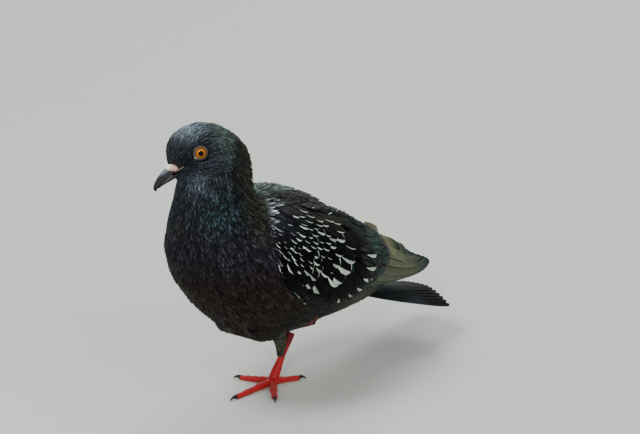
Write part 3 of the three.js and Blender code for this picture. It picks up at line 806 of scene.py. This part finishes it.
# Longer, looser feathers hang over the drawn-up foot and round the top of each shank.
hang = smoothstep(-roots[:, 2], -64, -52) * smoothstep(-np.abs(roots[:, 1] + 20), -48, -36)
hang = hang * (1 - np.minimum(2 * near(roots, HOCK, 45), 1))
lengths = lengths * (1 + 0.7 * hang) * np.where(on_thigh, 1.25, 1)
close = np.where(on_thigh, smoothstep(roots[:, 2], 24, 46), 1)
lengths, lifts = lengths * (0.42 + 0.58 * close), lifts * (0.4 + 0.6 * close)
# The hock of the drawn-up leg is covered closely.
hock = np.minimum(2 * near(roots, HOCK, 26), 1)
lengths, lifts = lengths * (1 - 0.5 * hock), lifts * (1 - 0.8 * hock)
# Those beside a wing reach over its edge.
ahead = [nearest(root + way * 6, skin_surface)[2] for root, way in zip(roots, ways)]
beside = (skin_region[triangles[ahead, 0]] == WING) & (root_regions != WING)
lengths = np.where(beside, np.maximum(lengths, np.interp(roots[:, 2], (85, 105), (10.4, 5.5))), lengths)
lifts = np.where(beside, lifts + 0.5, lifts)
# Loose feather tips stand out a little down the back of the neck, and those low down lie close.
lifts = lifts + 0.9 * on_neck * smoothstep(roots[:, 1], -92, -82)
lifts = lifts * (1 - 0.5 * (1 - smoothstep(roots[:, 2], 58, 74)))
colours, gloss = coat_colours(roots, root_regions, skin_normals[triangles[root_faces, 0]])
spread = 0.32 + 0.22 * on_neck + 0.12 * on_trunk
colours = colours * np.exp(spread * rng.normal(0, 1, count).clip(-2.2, 2.2))[:, None]
centres = triangle_uv[root_faces].mean(axis=1)
paths, ups = coat_paths(roots, ways, lengths, lifts, TUFT)

# No feather crosses the front of an eye.
clear = np.ones(count, bool)
for eye in EYES:
    axis = unit(eye - HEAD_AT)
    off = paths - eye
    ahead = off @ axis
    from_axis = np.linalg.norm(off - ahead[..., None] * axis, axis=2)
    clear &= (from_axis > np.where(ahead > 0, 4.05, 0)).all(axis=1)

zone = np.minimum(root_regions, TRUNK)
zone = np.where((zone == TRUNK) & (roots[:, 1] > -58), 3, zone)
zone = np.where((zone == 3) & (roots[:, 2] > 88), 4, zone)
contour = contour_feathers()
COATS = ("head", "neck", "breast", "belly", "back")
for number, name in enumerate(COATS):
    for sign, label in SIDES:
        own = (zone == number) & (roots[:, 0] * sign > 0) & clear
        lay = (paths[own], ups[own], widths[own], np.clip(widths[own] * 0.3, 0.1, 0.3))
        shape = (TUFT, TUFT_SECTION, centres[own])
        coat = build_vanes(f"coat_{name}_{label}", *lay, *shape, patch=0.003)
        give_vanes(coat, "tint", colours[own])
        give_vanes(coat, "gloss", gloss[own])
        finish(coat, contour, f"{name if number < 2 else 'body'}_feathers")

skin_colour, _ = coat_colours(skin_points, skin_region, skin_normals)
give(skin, "tint", skin_colour * 0.4)
settled = {"Roughness": 0.9, "Specular_IOR_Level": 0.1}
down = tinted("down_over_skin", grain_mm=1.2, spread=0.3, bump_mm=0.2, **settled)
finish(skin, down, "body_feathers", *FLESH)

# ---------------------------------------------------------------- quills of wings and tail

PALE_MARK = "#b6c0b6"
BLACK = "#070808"

# The coverts, row by row: [tip radius, room for each, length, half width, mark, first and last angle].
COVERTS = [
    (16, 3.2, 8, 2.1, 0.0, 32, 84),
    (20, 3.2, 8, 2.1, 0.0, 30, 84),
    (24, 3.4, 8, 2.2, 0.0, 28, 84),
    (28, 3.6, 9, 2.3, 0.0, 27, 84),
    (31.5, 4.0, 10, 2.6, 0.0, 27, 84),
    (35, 4.6, 12, 3.1, 0.5, 27, 84),
    (40, 4.6, 12, 3.2, 0.65, 27, 84),
    (45, 4.7, 12, 3.2, 0.78, 27, 84),
    (50, 4.8, 13, 3.3, 0.84, 27, 84),
    (55, 4.9, 13, 3.4, 0.86, 27, 84),
    (60, 5.1, 13, 3.5, 0.88, 27, 84),
    (65.5, 5.4, 14, 3.8, 0.88, 27, 84),
    (71.5, 5.8, 16, 4.1, 0.88, 27, 84),
    (79, 6.6, 20, 4.7, 0.88, 27, 84),
    (92, 8.0, 30, 5.9, 0.9, 27, 82),
]
GREATER = len(COVERTS) - 1  # the row of greater coverts

# The small stiff feathers along the lower front edge of the wing: the (y, z) of root and tip.
ALULA = np.array([((-70, 101), (-44, 71)), ((-70, 98), (-47.5, 75)), ((-69, 94), (-51, 79))])

# Primaries, outermost first: [root y, root z, tip y, tip z]. The inner ones lie over the outer ones.
PRIMARIES = [
    (-8, 64, 119, 47.0),
    (-7, 69, 118, 48.6),
    (-6, 75, 115.5, 50.4),
    (-5, 82, 112, 52.4),
    (-4, 90, 107, 55.0),
    (-3, 98, 101, 58.0),
    (-2, 106, 94, 61.4),
    (0, 112, 86, 65.2),
    (3, 116, 77, 69.8),
]

# The tail's twelve feathers spread evenly to either side.
TAIL_ROOT, TAIL_TIP = np.array((0, 41.0, 51.0)), np.array((0, 122.0, 28.5))
TAIL_SPREAD = np.linspace(-0.86, 0.86, 12)


def filled(field):
    """A field with its gaps filled from their neighbours, then smoothed."""
    known = ~np.isnan(field)
    values = np.where(known, field, 0)
    total, sums = known.astype(float), values.copy()
    for _ in range(30):
        for axis in (0, 1):
            for step in (1, -1):
                total = total + 0.25 * np.roll(total, step, axis) * ~known
                sums = sums + 0.25 * np.roll(sums, step, axis) * ~known
        scale = np.maximum(total, 1e-9)
        sums = np.where(known, values, sums / scale * (total > 0))
        total = np.where(known, 1.0, (total > 0).astype(float))
    for _ in range(6):
        edged = np.pad(sums, 1, mode="edge")
        sums = (edged[:-2, 1:-1] + edged[2:, 1:-1] + edged[1:-1, :-2] + edged[1:-1, 2:] + 4 * sums) / 8
    return sums


class Side:
    """The outer surface of one of the left wing's solids, seen from the side: x at each (y, z)."""

    def __init__(self, node):
        tree = search_tree(corners_of(node), triangles_of(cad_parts[node].data))
        self.low = np.array((-90.0, 30.0))
        field = np.full((230, 120), np.nan)
        for i, j in np.ndindex(field.shape):
            hit = tree.ray_cast(Vector((120, self.low[0] + i, self.low[1] + j)), Vector((-1, 0, 0)))
            if hit[0]:
                field[i, j] = hit[0][0]
        self.known = ~np.isnan(field)
        self.field = filled(field)

    def holds(self, flats, first, share):
        """Whether each vane, [vane, station, (y, z)], lies below the upper edge of the solid."""
        middle = flats[:, first:-2] + (0, 2.2)
        cell = np.clip(np.round(middle - self.low).astype(int), 0, np.array(self.known.shape) - 1)
        return self.known[cell[..., 0], cell[..., 1]].mean(axis=1) > share

    def reach(self, angle):
        """How far the solid goes from the point of the fan, at an angle below the horizontal."""
        turn = math.radians(float(angle))
        ray = np.arange(20.0, 200.0, 0.5)
        flat = FAN_AT + ray[:, None] * (math.cos(turn), -math.sin(turn))
        cell = np.round(flat - self.low).astype(int)
        inside = ((cell >= 0) & (cell < self.known.shape)).all(axis=1)
        ray, cell = ray[inside], cell[inside]
        return ray[self.known[cell[:, 0], cell[:, 1]]].max()

    def x(self, flat):
        """x for [.., (y, z)]."""
        at = np.clip(flat - self.low, 0, np.array(self.field.shape) - 1.001)
        i, j = at[..., 0].astype(int), at[..., 1].astype(int)
        a, b = at[..., 0] - i, at[..., 1] - j
        f = self.field
        here = f[i, j] * (1 - b) + f[i, j + 1] * b
        there = f[i + 1, j] * (1 - b) + f[i + 1, j + 1] * b
        return here * (1 - a) + there * a

    def lay(self, flat, height):
        """Points and outward normals of the paths [.., (y, z)], height above the surface."""
        step = 1.5
        dy, dz = ((self.x(flat + d) - self.x(flat - d)) / (2 * step) for d in np.eye(2) * step)
        normal = unit(np.stack([np.ones_like(dy), -dy, -dz], axis=-1))
        points = np.concatenate([self.x(flat)[..., None], flat], axis=-1)
        return points + normal * height[..., None], normal

    def vanes(self, rows, first=3, share=0.8):
        """Of vanes with a flat path, a height and other values, those that the solid holds."""
        values = {key: np.array([row[key] for row in rows]) for key in rows[0]}
        on = self.holds(values["flat"], first, share)
        values = {key: value[on] for key, value in values.items()}
        paths, ups = self.lay(values.pop("flat"), values.pop("height"))
        return {"paths": paths, "ups": ups, **values}


def fanned(tip, length, turn, bend, v):
    """A vane's path (y, z) out from the point of the fan, bent down towards its root."""
    ray = tip - length * (1 - v)
    turn = turn - math.radians(bend) * (1 - v) ** 2
    return np.stack([FAN_AT[0] + ray * np.cos(turn), FAN_AT[1] - ray * np.sin(turn)], axis=1)


def cells(count):
    """A grid of places on the bake map, one for each large vane, and the width of a cell."""
    across = int(math.ceil(math.sqrt(count)))
    n = np.arange(count)
    return (np.stack([n % across, n // across], axis=1) + 0.5) / across, 0.9 / across


quills = quill_feathers()


def quill_piece(name, slot, side, outline, paths, ups, tint, camber, nodes=(), **values):
    """One wing's or the tail's vanes, mirrored for side -1, as a piece with its markings. A value is
    one number for all of them or an array; a tint may also change along each vane."""
    flip = np.array((side, 1, 1))
    count = len(paths)
    values = {"roll": 0, "mark": 0, "lean": 0, "onset": 0.5, **values}
    values = {key: np.broadcast_to(np.asarray(value, float), count) for key, value in values.items()}
    lay = (paths * flip, ups * flip, values["width"], values["thick"], outline, QUILL_SECTION)
    obj = build_vanes(name, *lay, *cells(count), values["roll"] * side, camber)
    tint = np.broadcast_to(tint[:, None] if tint.ndim == 2 else tint, (count, len(outline), 3))
    give(obj, "tint", np.repeat(tint, len(QUILL_SECTION), axis=1).reshape(-1, 3))
    give_vanes(obj, "pale", linear(PALE_MARK) * rng.uniform(0.55, 1.15, (count, 1)))
    give_vanes(obj, "mark", values["mark"])
    give_vanes(obj, "lean", values["lean"] * side)
    give_vanes(obj, "onset", values["onset"])
    give(obj, "half", np.tile(np.repeat(outline[:, 1], len(QUILL_SECTION)), count))
    finish(obj, quills, slot, *nodes)


wing_side = Side("wing_left")
blade_side = Side("primaries_left")


def gather(angle):
    """How much nearer the tips of a row lie towards the front of the wing."""
    return np.interp(angle, (0, 57, 61, 66, 71, 84), (1, 1, 0.95, 0.83, 0.77, 0.7))


def covert_tint(radius, angle):
    front = smoothstep(angle, 50, 75)
    upper = 1 - smoothstep(radius, 30, 62)
    rear = smoothstep(-angle, -42, -30) * smoothstep(radius, 30, 50)
    # A painted highlight: pale blue-grey where light catches the small coverts at the front of the shoulder.
    shoulder = smoothstep(-radius, -33, -25) * smoothstep(angle, 38, 50) * rng.uniform(0.1, 0.8)
    layers = ("#202129", upper * (0.4 + 0.6 * front)), ("#1c1d18", rear), ("#7f8a98", 0.8 * shoulder)
    return painted(BLACK, *layers)


def covert(row, radius, length, half, mark, angle):
    """One covert: the greater ones are stiffer and have long pale marks."""
    greater = row == GREATER
    v = QUILL[:, 0]
    tip = radius * gather(angle) * rng.normal(1, 0.006)
    shrink = 0.55 + 0.45 * float(gather(angle))
    turn = math.radians(angle + rng.normal(0, 1.2))
    size = mark * np.interp(angle, (27, 34, 66, 80), (0.8, 1.0, 1.0, 0.8))
    if greater:
        size = np.interp(angle, (35, 38, 42, 60, 70, 75), (0.0, 0.75, 1.12, 1.05, 0.95, 0.0))
    rise = 1.3 + 0.2 * (row >= GREATER - 1)
    return {
        "flat": fanned(tip, length * shrink, turn, bend=5, v=v),
        "height": -1.75 + rise * v**1.1 + rng.normal(0, 0.06),
        "width": half * shrink * rng.normal(1, 0.04),
        "roll": math.radians(rng.normal(3.5, 1.0)),
        "mark": float(size) * (rng.uniform(0.85, 1.1) if greater else rng.uniform(0.65, 1.3)),
        "lean": rng.normal(0.85, 0.1) if greater else rng.normal(0.45, 0.2),
        "onset": 0.46 if greater else 0.45,
        "tint": covert_tint(float(radius), float(angle)) * rng.uniform(0.75, 1.3),
    }


for side, label in SIDES:
    rows = []
    for row, (radius, room, length, half, mark, first, last) in enumerate(COVERTS):
        step = math.degrees(room / radius)
        angles = np.arange(first + step * (0.5 if row % 2 else 0.0), last, step)
        angles = angles + rng.normal(0, step * 0.06, len(angles))
        rows += [covert(row, radius, length, half, mark, angle) for angle in angles]
    laid = wing_side.vanes(rows)
    quill_piece(f"coverts_{label}", "wing_feathers", side, QUILL, camber=0.08, thick=0.32, **laid)

# Scapulars: rounded feathers that carry the coat of the back over the top of each wing.
for side, label in SIDES:
    spots, sizes = [], []
    for row, inset in enumerate((7.0, 2.0)):
        for y in np.arange(-62 + 3.2 * row, 34, 6.4):
            x = side * (mantle_edge(y) - inset + rng.normal(0, 0.4))
            spots.append(full_surface[3].ray_cast(Vector((x, y, 220)), Vector((0, 0, -1)))[0])
            sizes.append(0.75 + 0.35 * smoothstep(y, -60, -20))
    spots, sizes = np.array(spots), np.array(sizes)
    count = len(spots)
    ways = unit(np.array((0.16 * side, 1.0, -0.42)) + rng.normal(0, 0.03, (count, 3)))
    paths, ups = coat_paths(spots, ways, 19 * sizes, np.full(count, 1.5), QUILL, full_surface)
    front = 1 - smoothstep(spots[:, 1], -66, -40)
    tint = painted("#15181a", ("#27302d", front), ("#182a2b", smoothstep(spots[:, 1], -8, 14)))
    tint = tint * rng.uniform(0.8, 1.25, (count, 1))
    mark = rng.uniform(0.2, 0.75, count) * (1 - front)
    look = {"tint": tint, "mark": mark, "lean": 0.5 * side, "onset": 0.6}
    lay = {"width": 4.6 * sizes, "thick": 0.3, "roll": -side * math.radians(3), "camber": 0.12}
    quill_piece(f"scapulars_{label}", "body_feathers", 1, QUILL, paths, ups, **lay, **look)


def secondary(inner, angle):
    """One secondary: a black one with a pale outer edge to its tip, or one of the longer, teal-dark
    inner ones that come out behind them; and the angle that it takes up."""
    v = LONG[:, 0]
    edge = wing_side.reach(angle) + 0.3
    along = np.interp(angle, (27, 33, 36, 40, 46, 50), (111, 115, 118, 120, 121, 118.5))
    tip = edge if inner else min(along * rng.normal(1, 0.004), edge)
    if inner:
        length, bend, width, room, colour = 52, 3, 7.6, 8.0, "#15292b"
        level = np.interp(v, (0, 0.55, 0.75, 1), (-2.2, -1.9, -0.9, -0.4))
    else:
        length, bend, width, room, colour = np.interp(angle, (27, 55, 80), (60, 55, 40)), 7, 6.4, 7.6, BLACK
        level = np.interp(v, (0, 0.55, 0.8, 1), (-1.9, -1.3, -0.35, 0.0))
    size = np.interp(angle, (27, 30, 33, 50, 54, 57), (0.0, 0.85, 1.05, 1.05, 0.8, 0.0))
    vane = {
        "flat": fanned(tip, length, math.radians(angle), bend, v),
        "height": level + rng.normal(0, 0.05),
        "width": width * np.interp(angle, (27, 55, 80), (1, 1, 0.75)),
        "roll": math.radians(rng.normal(4.5, 0.6)),
        "mark": 0.0 if inner else size * rng.uniform(0.9, 1.1),
        "lean": rng.normal(0.85, 0.1),
        "tint": linear(colour) * rng.uniform(0.8, 1.25),
    }
    return vane, math.degrees(room / tip)


for side, label in SIDES:
    rows = []
    for inner, last in ((False, 80), (True, 44)):
        angle = 27.0
        while angle < last:
            vane, taken = secondary(inner, angle)
            rows.append(vane)
            angle += taken
    laid = wing_side.vanes(rows, first=1, share=0.93)
    look = {"camber": 0.06, "thick": 0.4, "onset": 0.76}
    quill_piece(f"secondaries_{label}", "wing_feathers", side, LONG, **look, **laid)

# The alula's feathers each have a pale hairline.
for side, label in SIDES:
    flats = ALULA[:, :1] + (ALULA[:, 1:] - ALULA[:, :1]) * LONG[:, :1]
    paths, ups = wing_side.lay(flats, np.broadcast_to(0.5 + 0.3 * np.arange(3)[:, None], flats.shape[:2]))
    look = {"tint": np.tile(linear("#0b0c0d"), (3, 1)), "mark": (0.5, 0.46, 0.25), "lean": 1.2}
    lay = {"width": (2.6, 2.4, 2.2), "thick": 0.3, "camber": 0.1}
    quill_piece(f"alula_{label}", "wing_feathers", side, LONG, paths, ups, **lay, **look)

for side, label in SIDES:
    count = len(PRIMARIES)
    v = LONG[:, :1]
    flats, heights, tints = [], [], []
    for i, (root_y, root_z, tip_y, tip_z) in enumerate(PRIMARIES):
        tip = np.array((tip_y, tip_z))
        root = tip + (np.array((root_y, root_z)) - tip) * (1 - 0.045 * i)
        sag = np.array((0, -1.0)) * np.interp(i, (0, 8), (5.0, 2.0)) * 4
        flats.append(root + (tip - root) * v + sag * v * (1 - v))
        heights.append(-0.15 - 0.3 * (count - 1 - i) - 0.4 * (1 - v[:, 0]))
        layers = ("#6b6950", i / (count - 1)), ("#1a2e2b", smoothstep(v[:, 0], 0.72, 1.0))
        tints.append(painted("#3c4640", *layers) * rng.uniform(0.85, 1.15))
    paths, ups = blade_side.lay(np.array(flats), np.array(heights))
    lay = {"width": np.linspace(6.2, 7.6, count), "thick": 0.45, "roll": math.radians(3.0), "camber": 0.05}
    look = {"tint": np.array(tints), "nodes": [f"primaries_{label}"]}
    quill_piece(f"primaries_vanes_{label}", "flight_feathers", side, LONG, paths, ups, **lay, **look)

# Tail: the middle pair lies on top.
v = LONG[:, 0]
paths, tints = [], []
for i, across in enumerate(TAIL_SPREAD):
    half = 15 + 8 * v
    t = v * (1 - 0.055 * across**2)
    middle = TAIL_ROOT + (TAIL_TIP - TAIL_ROOT) * t[:, None]
    droop = (3 + 1.5 * v) * np.abs(across) ** 1.6
    depth = 0.14 * abs(i - 5.5) + 0.2
    middle[:, 0] += half * across
    middle[:, 2] -= droop + 0.17 * half * across * v + depth
    paths.append(middle)
    base = linear("#20262a") * rng.uniform(0.85, 1.15)
    tints.append(painted(base, ("#08090a", smoothstep(v, 0.68, 0.76))))
paths = np.array(paths)
run = unit(np.gradient(paths, axis=1))
ups = unit(np.cross(np.cross(run, (0, 0, 1.0)), run) + TAIL_SPREAD[:, None, None] * (0.25, 0, 0))
look = {"width": 6.4, "thick": 0.42, "camber": 0.05, "tint": np.array(tints), "nodes": ["tail"]}
quill_piece("tail_vanes", "tail_feathers", 1, LONG, paths, ups, **look)

# ---------------------------------------------------------------- eyes, bill and feet


def circle(count):
    return np.linspace(0, 2 * math.pi, count, endpoint=False)


# The bare rim of the eye in section: [from the eye's axis, along it, share of the corner, paleness].
RIM = [
    (3.44, 3.6, 0.0, 0.1),
    (3.5, 3.76, 0.05, 0.5),
    (3.64, 3.86, 0.2, 0.8),
    (3.82, 3.85, 0.6, 0.9),
    (3.98, 3.72, 0.9, 0.7),
    (4.12, 3.6, 1.0, 0.1),
    (4.4, 3.55, 1.0, 0),
    (4.8, 3.4, 1.0, 0),
    (5.6, 2.9, 1.0, 0),
    (5.3, 2.2, 1.0, 0),
]
RIM_DARK, RIM_PALE = linear("#191616"), linear("#7a7260")

wet = eye_surface()
settled = {"Roughness": 0.6, "Subsurface_Weight": 0.1}
rims = tinted("bare_skin_round_eye", grain_mm=0.7, spread=0.25, bump_mm=0.12, **settled)
for side, label in SIDES:
    centre = EYE_AT * (side, 1, 1)
    axis = unit(np.array((1.0 * side, -0.12, 0.05)))
    ahead = unit(np.cross(np.cross(axis, (0, -1.0, 0)), axis))
    above = np.cross(axis, ahead) * side * -1
    # The eyeball, with its clear front a little fuller than a sphere.
    turn = circle(64)[:, None]
    polar = np.radians(np.concatenate([np.linspace(0.6, 60, 40), np.linspace(66, 178, 18)]))
    bulge = EYE_RADIUS + 0.25 * np.exp(-((polar / math.radians(30)) ** 2))
    out, up_axis = (bulge * np.sin(polar))[:, None, None], (bulge * np.cos(polar))[:, None, None]
    rings = centre + axis * up_axis + (ahead * np.cos(turn) + above * np.sin(turn)) * out
    eye = tubes(f"eyeball_{label}", head_place(rings[None]))
    give(eye, "off_axis", np.repeat(np.degrees(polar) / 90, len(turn)))
    face_out(eye)
    finish(eye, wet, "iris", f"eye_{label}")
    # The bare rim: a narrow, slightly swollen ring with a corner drawn out towards the bill.
    turn = circle(120)
    corner = np.exp(-(((turn + math.radians(6) + math.pi) % (2 * math.pi) - math.pi) / 0.26) ** 2)
    corner = corner + 0.25 * np.exp(-((turn - math.pi) / 0.3) ** 2)
    ripple = 1 + 0.012 * np.sin(turn * 23) + 0.008 * np.sin(turn * 37 + 1)
    round_eye = ahead * np.cos(turn)[:, None] + above * np.sin(turn)[:, None]
    rings = []
    for out, forward, share, _ in RIM:
        reach = out * np.where(out > 3.6, ripple, 1) + 1.15 * share * corner
        rings.append(centre + axis * (forward - 0.35 * share * corner)[:, None] + round_eye * reach[:, None])
    rim = tubes(f"rim_of_eye_{label}", head_place([rings]), closed=True)
    pale = np.array([row[3] for row in RIM])[:, None] * (0.62 + 0.7 * np.minimum(corner, 1))
    give(rim, "tint", RIM_DARK + (RIM_PALE - RIM_DARK) * pale.reshape(-1, 1))
    face_out(rim)
    finish(rim, rims, "eye_ring", f"lid_{label}")

# Bill: dark horn, with a painted blue-grey highlight along the ridge, black at the hooked tip and pale along
# the mouth.
settled = {"Roughness": 0.34, "Coat_Weight": 0.1, "Specular_IOR_Level": 0.3}
horn = tinted("horn_of_bill", grain_mm=0.8, spread=0.2, bump_mm=0.05, **settled)
for part, dark in (("upper", "#1b1e22"), ("lower", "#191b1e")):
    bill = moulded(f"bill_{part}_horn", [f"bill_{part}"], grow=0.12, voxel=0.22, smoothing=5)
    _, y, z = in_head(points_of(bill)).T
    # Painted highlight along the top of the upper bill, fading out towards the tip.
    ridge = smoothstep(z + 0.10 * (y + 24), 1.6, 3.6) * (part == "upper") * (1 - smoothstep(-y, 25, 34))
    off = np.abs(z + 0.9 + 0.13 * np.maximum(-y - 22, 0))
    mouth = (1 - smoothstep(-y, 18, 31)) * (1 - smoothstep(off, 0.5, 1.3)) * 0.8
    layers = ("#64707c", ridge), ("#0f0f10", smoothstep(-y, 30, 35.5)), ("#8d7a74", mouth)
    give(bill, "tint", painted(dark, *layers))
    finish(bill, horn, "horn", f"bill_{part}")

# Ceres: two swollen, powdery lobes over the nostrils.
settled = {"Roughness": 0.75, "Subsurface_Weight": 0.25, "Specular_IOR_Level": 0.3}
powder = tinted("powdery_skin_of_cere", grain_mm=0.5, spread=0.12, bump_mm=0.12, **settled)
for side, label in SIDES:
    turn = circle(40)
    polar = np.linspace(0.03, math.pi - 0.03, 30)[:, None]
    egg = [np.sin(polar) * np.cos(turn), -np.cos(polar) * np.ones_like(turn), np.sin(polar) * np.sin(turn)]
    egg = np.stack(egg, axis=-1) * CERE_HALF
    egg[..., 2] *= 1 + 0.16 * egg[..., 1] / CERE_HALF[1]
    egg[..., 0] *= 1 + 0.03 * np.sin(egg[..., 1] * 2.6)
    egg = egg @ CERE_LEAN
    lobe = tubes(f"cere_skin_{label}", head_place((egg + CERE_AT) * (side, 1, 1))[None])
    face_out(lobe)
    _, y, z = in_head(points_of(lobe)).T
    # Painted light: each lobe is paler on top where the light falls, and darker along its lower edge as
    # painted shadow.
    top, base = smoothstep(z - 0.5 * (y + 19), 3.4, 5.0), 1 - smoothstep(z + 0.9 * (y + 19), -0.6, 0.8)
    give(lobe, "tint", painted("#cfa797", ("#e4dedb", top), ("#6b4a42", base)))
    finish(lobe, powder, "cere", f"cere_{label}")

# The edge of the mouth, from the bill to its corner.
settled = {"Roughness": 0.5, "Subsurface_Weight": 0.1}
flange = tinted("bare_skin_of_gape", grain_mm=0.5, spread=0.2, bump_mm=0.06, **settled)
for side, label in SIDES:
    stops = np.linspace(0, 1, 22)
    line = np.stack([np.interp(stops, np.linspace(0, 1, len(GAPE)), GAPE[:, k]) for k in range(3)], axis=1)
    line = head_place(line * (side, 1, 1))
    turn = circle(12)
    rings = []
    for k, place in enumerate(line):
        spot, normal, _ = nearest(place, skin_surface)
        run = unit(line[min(k + 1, len(line) - 1)] - line[max(k - 1, 0)])
        normal = unit(normal - run * (normal @ run))
        across = np.cross(run, normal)
        size = 0.2 + 0.16 * math.sin(math.pi * min(1, stops[k] * 1.05)) ** 0.5
        ring = across * np.cos(turn)[:, None] * size * 0.75 + normal * np.sin(turn)[:, None] * size * 1.25
        rings.append(spot + normal * 0.35 + ring)
    gape = tubes(f"gape_{label}", np.array([rings]))
    give(gape, "tint", np.tile(linear("#85726b"), (len(gape.data.vertices), 1)))
    face_out(gape)
    finish(gape, flange, "cere")

scales = scaled_skin()
settled = {"Roughness": 0.4, "Specular_IOR_Level": 0.3, "Coat_Weight": 0.15}
claw_horn = plain("horn_of_claws", "#141211", grain_mm=0.6, spread=0.25, bump_mm=0.04, **settled)
for label in ("right", "left"):
    nodes = [f"tarsus_{label}"] + [f"toe_{label}_{digit}" for digit in DIGITS]
    foot = moulded(f"foot_{label}", nodes, grow=0.15, voxel=0.32, smoothing=3)
    points, normals = points_of(foot), normals_of(foot)
    # Each point belongs to the nearest solid, and its bands are counted along that one's length.
    trees, middles, runs = [], [], []
    for node in nodes:
        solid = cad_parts[node]
        corners = points_of(solid)
        trees.append(search_tree(corners, triangles_of(solid.data)))
        middles.append(corners.mean(axis=0))
        runs.append(np.linalg.svd(corners - middles[-1])[2][0])
    own = np.array([[tree.find_nearest(Vector(p))[3] for tree in trees] for p in points]).argmin(axis=1)
    give(foot, "along", ((points - np.array(middles)[own]) * np.array(runs)[own]).sum(axis=1))
    if label == "right":
        under = smoothstep(-normals[:, 2], 0.0, 0.7) * (points[:, 2] < 4)
        # Painted shade: the top of the standing shank is darkened under the feathers of the body.
        unshaded = 1 - 0.6 * smoothstep(points[:, 2], 20, 28)
    else:
        under = smoothstep(normals[:, 2], 0.2, 0.8)
        # Painted shade: all of the drawn-up foot is dulled, tucked in the shade of the belly.
        unshaded = np.full(len(points), 0.3)
    give(foot, "under", under)
    give(foot, "unshaded", unshaded)
    finish(foot, scales, "scales", *nodes)
    for digit in DIGITS:
        name = f"claw_{label}_{digit}"
        claw = moulded(f"{name}_horn", [name], grow=0.05, voxel=0.16, smoothing=3)
        finish(claw, claw_horn, "claw", name)

# ---------------------------------------------------------------- camera, light and floor

camera_data = bpy.data.cameras.new("camera")
camera_data.sensor_width = 36
camera_data.lens = LENS
camera_data.clip_start = 0.05
camera = link("camera", camera_data)
right, up = Vector(CAMERA_RIGHT), Vector(CAMERA_UP)
turn = Matrix((right, up, right.cross(up))).transposed().to_4x4()
camera.matrix_world = Matrix.Translation(Vector(CAMERA_AT) * MM) @ turn
bpy.context.scene.camera = camera


def soft_light(name, at, target, size, power):
    data = bpy.data.lights.new(name, "AREA")
    data.shape = "DISK"
    data.size = size
    data.energy = power
    light = link(name, data)
    light.location = at
    light.rotation_euler = (Vector(target) - Vector(at)).to_track_quat("-Z", "Y").to_euler()


# In metres, as the floor below.
soft_light("key", (-0.2, -0.9, 1.5), (0, 0, 0.1), size=0.6, power=18)
soft_light("fill", (1.6, -0.2, 0.9), (0, 0, 0.1), size=1.2, power=9)
soft_light("front", (0.958, -1.529, 0.977), (0, -0.1, 0.175), size=0.22, power=11)
soft_light("rim", (-0.6, 1.2, 1.2), (0, 0, 0.12), size=0.9, power=14)

world = bpy.data.worlds.new("studio")
bpy.context.scene.world = world
world.use_nodes = True
backdrop = world.node_tree.nodes["Background"].inputs
backdrop["Color"].default_value = (*linear("#e6ebe8"), 1)
backdrop["Strength"].default_value = 0.7

bpy.ops.object.select_all(action="DESELECT")
bpy.ops.mesh.primitive_plane_add(size=12)
floor = bpy.context.object
floor.name = "floor"
floor.data.materials.append(plain("studio_floor_paper", "#c9ccc6", grain_mm=40, spread=0.03, Roughness=0.9))
